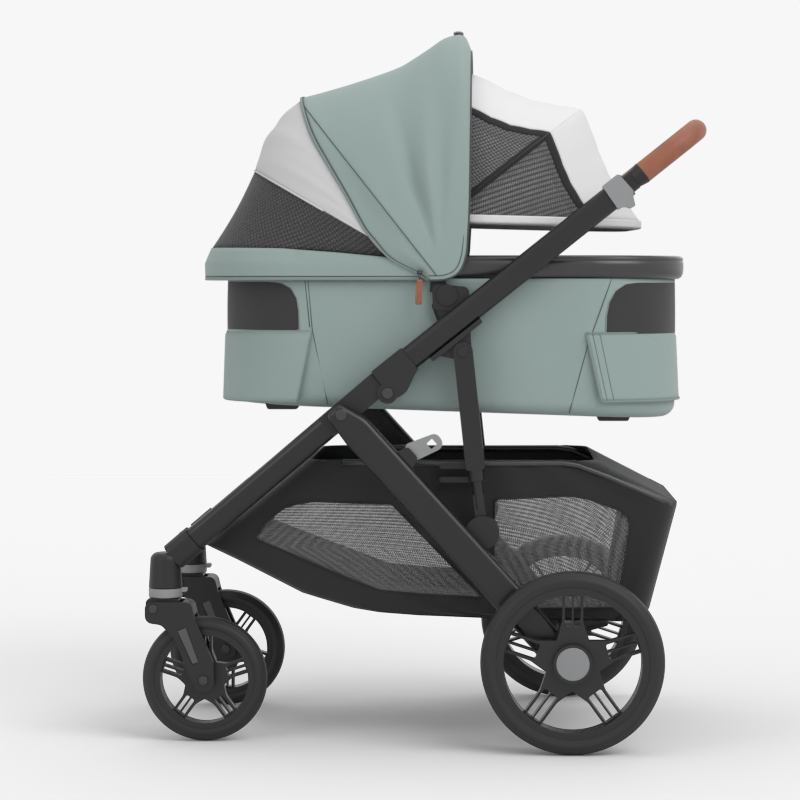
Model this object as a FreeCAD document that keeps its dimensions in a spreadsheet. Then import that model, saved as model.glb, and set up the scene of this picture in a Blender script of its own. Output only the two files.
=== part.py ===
import FreeCAD, Part
import math
import os
from FreeCAD import Vector, Placement, Rotation

# A folding pram chassis with a lift-off bassinet.
# Frame: millimetres, +Z up, -X the way the pram is pushed, -Y its left side.
# The origin lies on the ground, under the middle of the overall box.

DIMENSIONS = [
    # wheels
    ("RearWheelRadius", 146.0), ("RearWheelX", 240.0), ("RearWheelGap", 3.0),
    ("RearTyreWidth", 44.0), ("RearTyreInner", 121.0), ("RearRimInner", 109.5),
    ("RearHubRadius", 31.0), ("RearSpokeWidth", 33.0), ("RearSpindleRadius", 6.0),
    ("FrontWheelRadius", 102.0), ("FrontTrack", 376.0), ("FrontTrail", 64.0),
    ("FrontTyreWidth", 38.0), ("FrontTyreInner", 82.0), ("FrontRimInner", 72.0),
    ("FrontHubRadius", 18.0), ("FrontSpokeWidth", 24.0), ("FrontAxleRadius", 4.0),
    ("SpokeCount", 5), ("SpokeDepth", 15.0), ("SpokeRib", 4.0), ("SpokeMidRib", 2.6),
    ("HubCapRadius", 26.5), ("HubCapDepth", 4.0), ("RearHubHalf", 19.5), ("FrontHubHalf", 19.0),
    # frame tubes
    ("JointX", -68.3), ("JointZ", 587.0), ("UpperAngle", 38.6), ("LowerAngle", 40.3),
    ("TubeDepth", 39.0), ("TubeWidth", 28.0), ("TubeWall", 2.0), ("TubeCorner", 12.0),
    ("FrameHalfWidth", 236.0), ("HousingLength", 62.0), ("HousingOverlap", 22.0),
    ("PivotDrop", 21.6), ("PivotRadius", 15.0), ("PivotPinRadius", 5.0),
    ("CheekThickness", 4.0), ("JointGap", 0.6), ("RunGap", 0.1),
    ("LegPivotAlong", 77.8), ("LegHubLength", 112.0), ("SwivelX", -419.5),
    ("RearLegAngle", 47.7), ("RearLegDepth", 52.0), ("RearLegWidth", 26.0),
    ("RearLegGap", 2.0), ("RearLegEnd", 486.0), ("RearLegHead", 17.0),
    ("AxleHousingRadius", 25.0), ("AxleBeamRadius", 13.0),
    ("CrossbarAlong", 352.0), ("CrossbarRadius", 11.0), ("FrontLegEnd", 430.0), ("LegOverSocket", 2.4),
    # swivel and fork
    ("SocketBottom", 250.6), ("SocketTop", 307.6), ("SocketRadius", 27.0),
    ("SocketTopRadius", 23.5), ("StemRadius", 11.9), ("StemTop", 292.0),
    ("RingBottom", 235.0), ("RingTop", 249.8), ("RingRadius", 27.0), ("RingLever", 8.0),
    ("ForkWidth", 56.0), ("ForkSlot", 41.6), ("ForkClear", 107.0), ("ForkEndRadius", 18.0),
    ("KnuckleTop", 234.0), ("KnuckleWidth", 39.0), ("ForkPinX", -437.0), ("ForkPinZ", 218.0),
    ("ForkPinRadius", 4.0),
    # handle
    ("HandleReach", 650.0), ("HandleOverlap", 212.0), ("HandleDepth", 32.0), ("HandleWidth", 22.0),
    ("HandleBarRadius", 12.0), ("GripRadius", 17.5), ("GripRun", 112.0), ("HandleCorner", 62.0),
    ("FerruleLength", 18.0), ("CollarGap", 13.0), ("SliderLength", 37.5), ("SliderWall", 3.4),
    ("SliderGap", 0.4), ("ButtonWidth", 34.0), ("ButtonHeight", 10.0),
    # strut and seat mount
    ("StrutTopAlong", 135.4), ("StrutTopDown", 45.0), ("StrutFootAlong", 291.5),
    ("StrutFootUp", 38.2), ("StrutDepth", 31.0), ("StrutWidth", 26.0), ("StrutTube", 190.0),
    ("StrutRodRadius", 9.0), ("StripStart", 88.0), ("StripEnd", 190.0), ("StripThickness", 8.0),
    ("CupGap", 5.0), ("CupWidth", 40.0), ("CupBelow", 24.0), ("CupAbove", 20.0),
    ("CupX", 49.5), ("CupZ", 672.0), ("LiftAngle", 110.0), ("TongueGap", 0.5), ("TongueWidth", 30.0),
    ("CupOuterWall", 4.0), ("CupInnerWall", 3.4),
    # storage latch and brake
    ("LatchAlong", 121.0), ("LatchUp", 33.0), ("LatchThickness", 5.0),
    ("PedalWidth", 104.0), ("PedalReach", 66.0),
    # bassinet
    ("TubFront", -326.5), ("TubBack", 413.5), ("TubGap", 36.0), ("TubCorner", 150.0),
    ("TubTop", 754.0), ("TubBottomFront", 553.0), ("TubBottomBack", 528.0), ("TubWall", 12.0),
    ("TubFloor", 14.0), ("TubEdge", 18.0), ("RimTop", 791.0), ("RimOver", 7.0), ("RimEndOver", 16.5),
    ("RimWidth", 30.0), ("RimRound", 9.0), ("MattressThickness", 34.0), ("MattressGap", 6.0),
    ("BandFront", -363.5), ("BandOver", 9.0), ("BandTop", 803.0),
    ("BandEndX", -3.5),
    ("HubDepth", 19.5), ("HubWidth", 60.0), ("HubTop", 746.0),
    ("HubButtonX", 39.5), ("HubButtonZ", 727.0), ("HubButtonRadius", 19.0),
    # canopy
    ("CanopyX", 23.3), ("CanopyZ", 757.8), ("CanopyOver", 26.5), ("CanopyStart", 26.0),
    ("FrontBowAngle", 84.0), ("FrontBowRadius", 404.0), ("RearBowAngle", 127.0),
    ("RearBowRadius", 374.0), ("RearRibAngle", 150.6), ("RearRibRadius", 352.0),
    ("BaseAngle", 167.5), ("BaseRadius", 378.0), ("FabricThickness", 3.0), ("BowRadius", 3.3), ("RibRadius", 2.6),
    ("ShadeX", 32.5), ("ShadeZ", 854.0), ("ShadeInset", 27.0),
    ("ShadeTopAngle", 80.0), ("ShadeTopRadius", 240.0), ("ShadeMidAngle", 38.0),
    ("ShadeMidRadius", 288.0), ("ShadeLowAngle", -1.5), ("ShadeLowRadius", 326.0),
    # basket
    ("BasketTop", 474.0), ("BasketGap", 31.0), ("NoseGap", 28.0), ("BasketWall", 3.0),
]

doc = FreeCAD.newDocument("Pram")
sheet = doc.addObject("Spreadsheet::Sheet", "Dims")
for row, (alias, number) in enumerate(DIMENSIONS, start=1):
    sheet.set(f"A{row}", alias)
    sheet.set(f"B{row}", str(number))
    sheet.setAlias(f"B{row}", alias)
doc.recompute()


def dim(alias):
    """A driving dimension, read back from the sheet."""
    return float(sheet.get(alias))


# ---------------------------------------------------------------- geometry helpers

def direction(angle):
    """Unit vector in the XZ plane, at an angle from +X towards +Z."""
    return Vector(math.cos(math.radians(angle)), 0, math.sin(math.radians(angle)))


def side_frame(x, z, angle=0.0, y=0.0):
    """Local X along the angle in side view, local Y across it, local Z towards -Y."""
    along = direction(angle)
    across = direction(angle + 90.0)
    return Placement(Vector(x, y, z), Rotation(along, across, Vector(0, -1, 0), "XZY"))


def tube_frame(start, end):
    """Local Z runs from start to end and local X is the lateral direction."""
    along = (end - start).normalize()
    lateral = Vector(0, 1, 0) - along * along.y
    lateral.normalize()
    return Placement(start, Rotation(lateral, along.cross(lateral), along, "ZXY"))


def rounded(points):
    """Closed outline of lines and tangent arcs. A point is (x, y) or (x, y, radius)."""
    corners = [(Vector(p[0], p[1], 0), p[2] if len(p) > 2 else 0.0) for p in points]
    count = len(corners)
    ends = []
    arcs = []
    for i, (here, radius) in enumerate(corners):
        before = (corners[i - 1][0] - here).normalize()
        after = (corners[(i + 1) % count][0] - here).normalize()
        if radius <= 0:
            ends.append((here, here))
            arcs.append(None)
            continue
        half = before.getAngle(after) / 2
        reach = radius / math.tan(half)
        bisector = (before + after).normalize()
        middle = here + bisector * (radius / math.sin(half) - radius)
        first, last = here + before * reach, here + after * reach
        ends.append((first, last))
        arcs.append(Part.Arc(first, middle, last))
    edges = []
    for i in range(count):
        if arcs[i]:
            edges.append(arcs[i])
        start, stop = ends[i][1], ends[(i + 1) % count][0]
        if (stop - start).Length > 1e-6:
            edges.append(Part.LineSegment(start, stop))
    return edges


def oval(depth, width, corner):
    """Rounded rectangle about the origin: width along X and depth along Y."""
    a, b = width / 2, depth / 2
    return rounded([(-a, -b, corner), (a, -b, corner), (a, b, corner), (-a, b, corner)])


def block(x0, y0, x1, y1, corner=0.0):
    return rounded([(x0, y0, corner), (x1, y0, corner), (x1, y1, corner), (x0, y1, corner)])


def circle(radius, x=0.0, y=0.0):
    return [Part.Circle(Vector(x, y, 0), Vector(0, 0, 1), radius)]


def lift_to(z):
    """Attachment offset of a sketch raised by z."""
    return Placement(Vector(0, 0, z), Rotation())


class Piece:
    """One PartDesign body, drawn in its own frame and then placed."""

    def __init__(self, label, placement=None):
        self.body = doc.addObject("PartDesign::Body", label)
        self.body.Label = label
        self.body.Placement = placement or Placement()
        self.count = 0

    def origin(self, role):
        return next(f for f in self.body.Origin.OriginFeatures if f.Role == role)

    def _name(self, kind):
        self.count += 1
        return f"{self.body.Name}_{kind}{self.count}"

    def sketch(self, loops, offset=None):
        sketch = self.body.newObject("Sketcher::SketchObject", self._name("Sketch"))
        sketch.AttachmentSupport = [(self.origin("XY_Plane"), "")]
        sketch.MapMode = "FlatFace"
        if offset:
            sketch.AttachmentOffset = offset
        for loop in loops:
            sketch.addGeometry(loop, False)
        return sketch

    def _extrude(self, kind, loops, length, symmetric, offset, backwards):
        feature = self.body.newObject("PartDesign::" + kind, self._name(kind))
        feature.Profile = self.sketch(loops, offset)
        feature.SideType = "Symmetric" if symmetric else "One side"
        feature.Reversed = backwards
        if isinstance(length, str):
            feature.setExpression("Length", length)
        else:
            feature.Length = length
        return feature

    def pad(self, loops, length, symmetric=True, offset=None, backwards=False):
        return self._extrude("Pad", loops, length, symmetric, offset, backwards)

    def pocket(self, loops, length, symmetric=True, offset=None, backwards=False):
        return self._extrude("Pocket", loops, length, symmetric, offset, backwards)

    def revolve(self, loop, role="Y_Axis"):
        feature = self.body.newObject("PartDesign::Revolution", self._name("Revolution"))
        feature.Profile = self.sketch([loop])
        feature.ReferenceAxis = (self.origin(role), [""])
        feature.Angle = 360
        return feature

    def groove(self, loop, role="Y_Axis"):
        feature = self.body.newObject("PartDesign::Groove", self._name("Groove"))
        feature.Profile = self.sketch([loop])
        feature.ReferenceAxis = (self.origin(role), [""])
        feature.Angle = 360
        return feature

    def repeat(self, features, count, role="Z_Axis"):
        pattern = self.body.newObject("PartDesign::PolarPattern", self._name("Pattern"))
        pattern.Originals = features
        pattern.Axis = (self.origin(role), [""])
        pattern.Angle = 360
        pattern.setExpression("Occurrences", count)
        self.body.Tip = pattern
        return pattern

    def round_edges(self, choose, radius):
        """Fillet the edges of the tip that choose(edge) picks."""
        doc.recompute()
        base = self.body.Tip
        names = [f"Edge{i}" for i, e in enumerate(base.Shape.Edges, start=1) if choose(e)]
        fillet = self.body.newObject("PartDesign::Fillet", self._name("Fillet"))
        fillet.Base = (base, names)
        fillet.setExpression("Radius", radius)
        return fillet


shapes = {}


def keep(node, *solids):
    """Register the solids of one node. PartDesign bodies are read after the recompute."""
    shapes.setdefault(node, []).extend(solids)


def feature(label, shape):
    """A Part::Feature for a form that neither PartDesign nor the primitives suit."""
    item = doc.addObject("Part::Feature", label)
    item.Label = label
    item.Shape = shape
    return item


SIDES = (("left", -1), ("right", 1))

# ---------------------------------------------------------------- skeleton

joint = Vector(dim("JointX"), 0, dim("JointZ"))
upper = direction(dim("UpperAngle"))
lower = direction(dim("LowerAngle")) * -1
upperNormal = direction(dim("UpperAngle") + 90)
foldPivot = joint - upperNormal * dim("PivotDrop")
legPivot = joint + lower * dim("LegPivotAlong")
rearAlong = direction(-dim("RearLegAngle"))
rearUp = direction(90 - dim("RearLegAngle"))
rearAxle = Vector(dim("RearWheelX"), 0, dim("RearWheelRadius"))
frontAxle = Vector(dim("SwivelX") + dim("FrontTrail"), 0, dim("FrontWheelRadius"))
strutTop = joint + upper * dim("StrutTopAlong") - upperNormal * dim("StrutTopDown")
strutFoot = legPivot + rearAlong * dim("StrutFootAlong") + rearUp * dim("StrutFootUp")
canopyPivot = Vector(dim("CanopyX"), 0, dim("CanopyZ"))
shadePivot = Vector(dim("ShadeX"), 0, dim("ShadeZ"))
frameHalf = dim("FrameHalfWidth")
rearLegY = frameHalf + dim("TubeWidth") / 2 + dim("RearLegGap") + dim("RearLegWidth") / 2
rearWheelY = rearLegY + dim("RearLegWidth") / 2 + dim("RearWheelGap") + dim("RearTyreWidth") / 2
frontWheelY = dim("FrontTrack") / 2
tubHalf = frameHalf - dim("TubGap")
cupInner = tubHalf + dim("CupGap")
hubOuter = tubHalf + dim("HubDepth")
canopyHalf = tubHalf + dim("CanopyOver")
shadeHalf = canopyHalf - dim("ShadeInset")
gripStart = dim("HandleReach") - dim("GripRun")
ferruleStart = gripStart - dim("FerruleLength")
upperTubeEnd = ferruleStart - dim("CollarGap")
sliderStart = upperTubeEnd - dim("SliderLength")
handleStart = upperTubeEnd - dim("HandleOverlap")


def at_y(point, y):
    return Vector(point.x, y, point.z)


def side_at(point, angle, y):
    return side_frame(point.x, point.z, angle, y)


def tube_loops(depth, width, corner, wall):
    return [oval(depth, width, corner),
            oval(depth - 2 * wall, width - 2 * wall, corner - wall)]


# ---------------------------------------------------------------- wheels

def wheel(label, side, centre, y, sizes):
    """Tyre, spoked rim and, where asked, a hub cap. The wheel's local Z is its axle."""
    radius, inner, opening = sizes["radius"], sizes["inner"], sizes["opening"]
    half = sizes["width"] / 2
    outward = Rotation(Vector(1, 0, 0), 90 if side < 0 else -90)
    place = Placement(at_y(centre, y), outward)

    tyre = Piece(f"{label}_tyre_{'left' if side < 0 else 'right'}", place)
    tread = half - 10
    tyre.revolve(rounded([
        (inner, -half + 3, 1.5), (radius - 12, -half, 9), (radius - 1.5, -tread, 6),
        (radius, 0, 30), (radius - 1.5, tread, 6), (radius - 12, half, 9),
        (inner, half - 3, 1.5)]), "Y_Axis")
    tyre.body.Placement = place * Placement(Vector(), Rotation(Vector(1, 0, 0), 90))

    rim = Piece(f"{label}_rim_{'left' if side < 0 else 'right'}", place)
    lip = half - 4
    bed = rim.pad([circle(inner), circle(opening)], 2 * lip)
    bed.Label = f"{label}_bed"
    rim.pad([circle(sizes["hub"])], 2 * sizes["hubHalf"])
    w, rib, mid = sizes["spoke"] / 2, dim("SpokeRib"), dim("SpokeMidRib") / 2
    flare, split = sizes["hub"] * 1.12, opening * 0.53
    reach = opening + 2
    spoke = rim.pad([
        rounded([(-w, reach), (-w, split * 1.12, 26), (-w - 13, flare * 0.72), (w + 13, flare * 0.72),
                 (w, split * 1.12, 26), (w, reach)]),
        rounded([(-w + rib, reach - 4.5, 1), (-w + rib, split, 3.5), (-mid, split, 2.0),
                 (-mid, reach - 4.5, 1)]),
        rounded([(mid, reach - 4.5, 1), (mid, split, 2.0), (w - rib, split, 3.5),
                 (w - rib, reach - 4.5, 1)])], "Dims.SpokeDepth")
    rim.repeat([spoke], "Dims.SpokeCount")
    rim.pocket([circle(sizes["bore"])], 3 * half)
    if sizes["cap"]:
        recess = dim("HubCapDepth")
        rim.pocket([circle(dim("HubCapRadius") + 0.2)], recess + 3,
                   symmetric=False, offset=lift_to(sizes["hubHalf"] + 3))
        cap = Piece(f"hub_cap_{'left' if side < 0 else 'right'}", place)
        top = sizes["hubHalf"] + 1.6
        cap.body.Placement = place * Placement(Vector(), Rotation(Vector(1, 0, 0), 90))
        cap.revolve(rounded([
            (0, sizes["hubHalf"] - recess), (dim("HubCapRadius"), sizes["hubHalf"] - recess),
            (dim("HubCapRadius"), top - 1.2, 1.5), (0, top)]), "Y_Axis")
        keep(cap.body.Label, cap.body)
    keep(tyre.body.Label, tyre.body)
    keep(rim.body.Label, rim.body)


for name, side in SIDES:
    wheel("rear", side, rearAxle, side * rearWheelY, dict(
        radius=dim("RearWheelRadius"), inner=dim("RearTyreInner"), opening=dim("RearRimInner"),
        width=dim("RearTyreWidth"), hub=dim("RearHubRadius"), hubHalf=dim("RearHubHalf"),
        spoke=dim("RearSpokeWidth"), bore=dim("RearSpindleRadius") + dim("RunGap"), cap=True))
    wheel("front", side, frontAxle, side * frontWheelY, dict(
        radius=dim("FrontWheelRadius"), inner=dim("FrontTyreInner"),
        opening=dim("FrontRimInner"), width=dim("FrontTyreWidth"), hub=dim("FrontHubRadius"),
        hubHalf=dim("FrontHubHalf"), spoke=dim("FrontSpokeWidth"),
        bore=dim("FrontAxleRadius") + dim("RunGap"), cap=False))

# ---------------------------------------------------------------- upper frame

tubeHalf = dim("TubeDepth") / 2
TUBE = (dim("TubeDepth"), dim("TubeWidth"), dim("TubeCorner"))


def cut_round(piece, tube, section, length, backwards=False):
    """Cut the space a tube takes out of another body. The tube's local Z is its axis."""
    offset = piece.body.Placement.inverse() * tube.body.Placement
    piece.pocket([oval(*section)], length, symmetric=False, offset=offset, backwards=not backwards)


for name, side in SIDES:
    y = side * frameHalf
    start = dim("HousingLength") - dim("HousingOverlap")
    tube = Piece(f"upper_tube_{name}",
                 tube_frame(at_y(joint + upper * start, y), at_y(joint + upper * upperTubeEnd, y)))
    tube.pad(tube_loops(dim("TubeDepth"), dim("TubeWidth"), dim("TubeCorner"), dim("TubeWall")),
             upperTubeEnd - start, symmetric=False)
    keep(f"upper_tube_{name}", tube.body)

    # moulded housing round the tube's foot, with cheeks that hold the fold pivot
    housing = Piece(f"fold_housing_{name}", side_at(joint, dim("UpperAngle"), y))
    cheekHalf = dim("TubeWidth") / 2 + dim("CheekThickness") + dim("JointGap")
    outer, drop, length = dim("PivotRadius") + 1.5, dim("PivotDrop"), dim("HousingLength")
    housing.pad([rounded([
        (0.6, tubeHalf + 2.5, 3), (0.6, -tubeHalf - 2.5), (outer * 0.2, -drop - outer, 14),
        (length * 0.42, -drop - outer, 12), (length - 9, -tubeHalf - 5.5, 8),
        (length, -tubeHalf - 2.5, 3), (length, tubeHalf + 2.5, 3)])], 2 * cheekHalf)
    housing.pad([circle(outer, 0, -drop)], 2 * cheekHalf)
    hollow = dim("TubeWidth") + 2 * dim("JointGap")
    housing.pocket([circle(dim("PivotRadius") + 2.2, 0, -drop)], hollow)
    housing.pocket([circle(dim("PivotPinRadius") + dim("RunGap"), 0, -drop)], 4 * cheekHalf)
    cut_round(housing, tube, TUBE, length - start + 20)
    keep("fold_housings", housing.body)

# ---------------------------------------------------------------- front frame

pinRadius = dim("PivotPinRadius")
socketAxis = {}
legTubes = {}
for name, side in SIDES:
    y = side * frameHalf
    hubAngle = dim("LowerAngle") + 180
    hub = Piece(f"leg_hub_{name}", side_at(joint, hubAngle, y))
    halfDepth, hubLength = dim("TubeDepth") / 2, dim("LegHubLength")
    knuckle = foldPivot - joint
    kx, ky = knuckle.dot(direction(hubAngle)), knuckle.dot(direction(hubAngle + 90))
    hub.pad([block(0.6, -halfDepth, hubLength, halfDepth, 2)], dim("TubeWidth") - 0.8)
    hub.pad([circle(dim("PivotRadius"), kx, ky)], dim("TubeWidth") - 0.8)
    hub.pocket([circle(pinRadius, kx, ky)], 60)
    hub.pocket([circle(pinRadius, dim("LegPivotAlong"), 0)], 60)
    keep("leg_hubs", hub.body)

    # the leg converges on its swivel socket
    top = at_y(joint + lower * (hubLength - 3), y)
    foot = at_y(joint + lower * dim("FrontLegEnd"), side * (frontWheelY + dim("LegOverSocket")))
    leg = Piece(f"front_leg_{name}", tube_frame(top, foot))
    leg.pad(tube_loops(*TUBE, dim("TubeWall")), (foot - top).Length, symmetric=False)
    keep(f"front_leg_{name}", leg.body)
    legTubes[side] = leg
    cut_round(hub, leg, TUBE, 40)

    # socket with a sleeve for the leg and a blind bore for the swivel stem
    socket = Piece(f"swivel_socket_{name}", Placement(
        Vector(dim("SwivelX"), side * frontWheelY, 0), Rotation()))
    low, high = dim("SocketBottom"), dim("SocketTop")
    socket.body.Placement = socket.body.Placement * Placement(Vector(), Rotation(Vector(1, 0, 0), 90))
    socket.revolve(rounded([(0, low), (dim("SocketRadius"), low, 1.5),
                            (dim("SocketTopRadius"), high, 12), (0, high)]), "Y_Axis")
    offset = socket.body.Placement.inverse() * leg.body.Placement
    reach = (foot - top).Length
    socket.pad([oval(TUBE[0] + 7, TUBE[1] + 7, TUBE[2] + 3)], 46, symmetric=False,
               offset=offset * Placement(Vector(0, 0, reach - 34), Rotation()))
    cut_round(socket, leg, TUBE, reach)
    socket.groove(rounded([(0, low - 5), (dim("StemRadius") + dim("RunGap"), low - 5),
                           (dim("StemRadius") + dim("RunGap"), dim("StemTop") + 0.4),
                           (0, dim("StemTop") + 0.4)]), "Y_Axis")
    keep("swivel_sockets", socket.body)

# bar between the legs, its ends saddled on their inner faces
barAt = joint + lower * dim("CrossbarAlong")
crossbar = Piece("front_crossbar", Placement(Vector(barAt.x, 0, barAt.z), Rotation(Vector(1, 0, 0), 90)))
share = (dim("CrossbarAlong") - dim("LegHubLength") + 3) / (dim("FrontLegEnd") - dim("LegHubLength") + 3)
barEnd = frameHalf + (frontWheelY + dim("LegOverSocket") - frameHalf) * share - 1.5
crossbar.pad([circle(dim("CrossbarRadius"))], 2 * barEnd)
for side in (-1, 1):
    cut_round(crossbar, legTubes[side], TUBE, 400)
keep("front_crossbar", crossbar.body)


def pin(label, centre, inner, outer, radius, head, thickness, side):
    """A headed pin across the frame: a shank from inner to outer and a head at each end."""
    bolt = Piece(label, Placement(Vector(centre.x, 0, centre.z), Rotation(Vector(1, 0, 0), -90 * side)))
    bolt.body.Placement = bolt.body.Placement * Placement(Vector(), Rotation(Vector(1, 0, 0), 90))
    rim = min(1.2, thickness / 2)
    bolt.revolve(rounded([
        (0, inner - thickness), (head, inner - thickness, rim), (head, inner), (radius, inner),
        (radius, outer), (head, outer), (head, outer + thickness, rim), (0, outer + thickness)]), "Y_Axis")
    return bolt


half = frameHalf
legOuter = rearLegY + dim("RearLegWidth") / 2
cheek = dim("TubeWidth") / 2 + dim("CheekThickness") + dim("JointGap") + 0.4
for name, side in SIDES:
    bolt = pin(f"fold_pin_{name}", foldPivot, half - cheek, half + cheek, pinRadius, 9, 3.2, side)
    keep("frame_pins", bolt.body)
    bolt = pin(f"leg_pin_{name}", legPivot, half - dim("TubeWidth") / 2 + 0.4, legOuter + 0.4,
               pinRadius, 9, 3.2, side)
    keep("frame_pins", bolt.body)

# ---------------------------------------------------------------- rear frame

legHalf = dim("RearLegDepth") / 2
for name, side in SIDES:
    y = side * rearLegY
    leg = Piece(f"rear_leg_{name}", side_at(legPivot, -dim("RearLegAngle"), y))
    end = dim("RearLegEnd")
    leg.pad([rounded([(-dim("RearLegHead"), -legHalf + 6, 14), (40, -legHalf, 60), (end, -legHalf), (end, legHalf),
                      (30, legHalf, 60), (-dim("RearLegHead"), legHalf - 16, 16)])], "Dims.RearLegWidth")
    leg.round_edges(lambda e: e.Length > 300 and abs(abs(e.CenterOfMass.z) - dim("RearLegWidth") / 2) < 0.1, "10")
    leg.pocket([circle(pinRadius + dim("RunGap"))], 60)
    wall = dim("TubeWall")
    bore = Placement(Vector(end, 0, 0), Rotation(Vector(0, 0, 1), Vector(0, 1, 0), Vector(-1, 0, 0), "ZXY"))
    leg.pocket([oval(2 * (legHalf - wall), dim("RearLegWidth") - 2 * wall, 8)], end - 45,
               symmetric=False, offset=bore, backwards=True)
    keep(f"rear_leg_{name}", leg.body)

    # axle housing: a plug up the leg, a boss round the axle and the wheel spindle
    house = Piece(f"axle_housing_{name}", side_at(legPivot, -dim("RearLegAngle"), y))
    axleLocal = house.body.Placement.inverse().multVec(at_y(rearAxle, y))
    ax, ay = axleLocal.x, axleLocal.y
    boss = dim("AxleHousingRadius")
    house.pad([rounded([(end, -legHalf), (end, legHalf), (end + 14, legHalf, 6), (ax - 4, ay + boss, 12),
                        (ax + 18, ay + boss - 3, 18), (ax + 18, ay - boss + 3, 18), (ax - 4, ay - boss, 14),
                        (end + 14, -legHalf, 6)])],
              "Dims.RearLegWidth")
    plug = oval(2 * (legHalf - wall), dim("RearLegWidth") - 2 * wall, 8)
    house.pad([plug], 30, symmetric=False, offset=bore, backwards=True)
    outerFace = side * (rearWheelY - dim("RearHubHalf")) - y
    spindleEnd = rearWheelY + dim("RearHubHalf") - dim("HubCapDepth") - 1.0 - rearLegY
    turn = Placement(Vector(ax, ay, 0), Rotation(Vector(1, 0, 0), 0 if side < 0 else 180))
    house.pad([circle(11)], abs(outerFace) - 0.5, symmetric=False, offset=turn)
    house.pad([circle(dim("RearSpindleRadius"))], spindleEnd, symmetric=False, offset=turn)
    keep("axle_housings", house.body)

beam = Piece("rear_axle_beam", Placement(Vector(rearAxle.x, 0, rearAxle.z), Rotation(Vector(1, 0, 0), 90)))
beam.pad([circle(dim("AxleBeamRadius")), circle(dim("AxleBeamRadius") - 2.5)],
         2 * (rearLegY - dim("RearLegWidth") / 2))
keep("rear_axle_beam", beam.body)

# ---------------------------------------------------------------- swivels, forks and front axles

swivel = Vector(dim("SwivelX"), 0, 0)
pinX, pinZ = dim("ForkPinX") - dim("SwivelX"), dim("ForkPinZ")
trail, axleZ = dim("FrontTrail"), dim("FrontWheelRadius")
for name, side in SIDES:
    y = side * frontWheelY
    upright = Placement(Vector(dim("SwivelX"), y, 0), Rotation(Vector(1, 0, 0), 90))
    knuckle = Piece(f"swivel_knuckle_{name}", upright)
    top = dim("KnuckleTop")
    knuckle.pad([rounded([(-30, top, 8), (-30, 203, 10), (-3, 194, 8), (20, 206, 6), (24, top, 4)])],
               "Dims.KnuckleWidth")
    knuckle.revolve(rounded([(0, top - 1), (23, top - 1), (23, top), (dim("StemRadius"), top),
                            (dim("StemRadius"), dim("StemTop"), 1.5), (0, dim("StemTop"))]), "Y_Axis")
    knuckle.pocket([circle(dim("ForkPinRadius") + dim("RunGap"), pinX, pinZ)], 80)
    keep(f"swivel_knuckle_{name}", knuckle.body)

    ring = Piece(f"swivel_lock_{name}", upright)
    low, high, outer = dim("RingBottom"), dim("RingTop"), dim("RingRadius")
    ring.revolve(rounded([(dim("StemRadius") + 0.5, low), (outer, low, 2), (outer, high, 1),
                          (dim("StemRadius") + 0.5, high)]), "Y_Axis")
    ring.pad([rounded([(outer - 4, high - 6), (outer + dim("RingLever"), high - 6, 2),
                       (outer + dim("RingLever"), high, 1), (outer - 4, high)])], 16)
    keep(f"swivel_lock_{name}", ring.body)

    # arched arm either side of the wheel, joined above it
    arm = Piece(f"fork_arm_{name}", upright)
    reach = dim("ForkEndRadius")
    arm.pad([rounded([
        (pinX - 13, 229, 11), (pinX - 13, 196, 12), (-4, 192, 14), (17, 169, 40), (trail - reach, 97, 60),
        (trail - reach + 2, axleZ - reach, 16), (trail + reach, axleZ - reach, 16),
        (trail + reach - 2, 132, 30), (50, 204, 30), (44, 229, 12)])], "Dims.ForkWidth")
    arm.pocket([circle(dim("ForkClear"), trail, axleZ)], "Dims.ForkSlot")
    arm.pocket([block(-80, 150, 30, 260)], "Dims.ForkSlot")
    arm.pocket([circle(dim("ForkPinRadius"), pinX, pinZ)], 90)
    arm.pocket([circle(dim("FrontAxleRadius"), trail, axleZ)], 90)
    panel = rounded([(20, 184, 5), (46, 126, 6), (58, 130, 6), (36, 190, 8)])
    for face, back in ((28, False), (-28, True)):
        arm.pocket([panel], 1.4, symmetric=False, offset=lift_to(face), backwards=back)
    keep(f"fork_arm_{name}", arm.body)

    width = dim("ForkWidth") / 2
    middle = abs(y)
    bolt = pin(f"front_axle_{name}", frontAxle, middle - width, middle + width,
               dim("FrontAxleRadius"), 7.5, 4, side)
    keep(f"front_axle_{name}", bolt.body)
    bolt = pin(f"fork_pin_{name}", Vector(dim("ForkPinX"), 0, pinZ), middle - width, middle + width,
               dim("ForkPinRadius"), 7, 2.5, side)
    keep(f"front_axle_{name}", bolt.body)

# ---------------------------------------------------------------- struts, their feet and brackets

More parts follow.
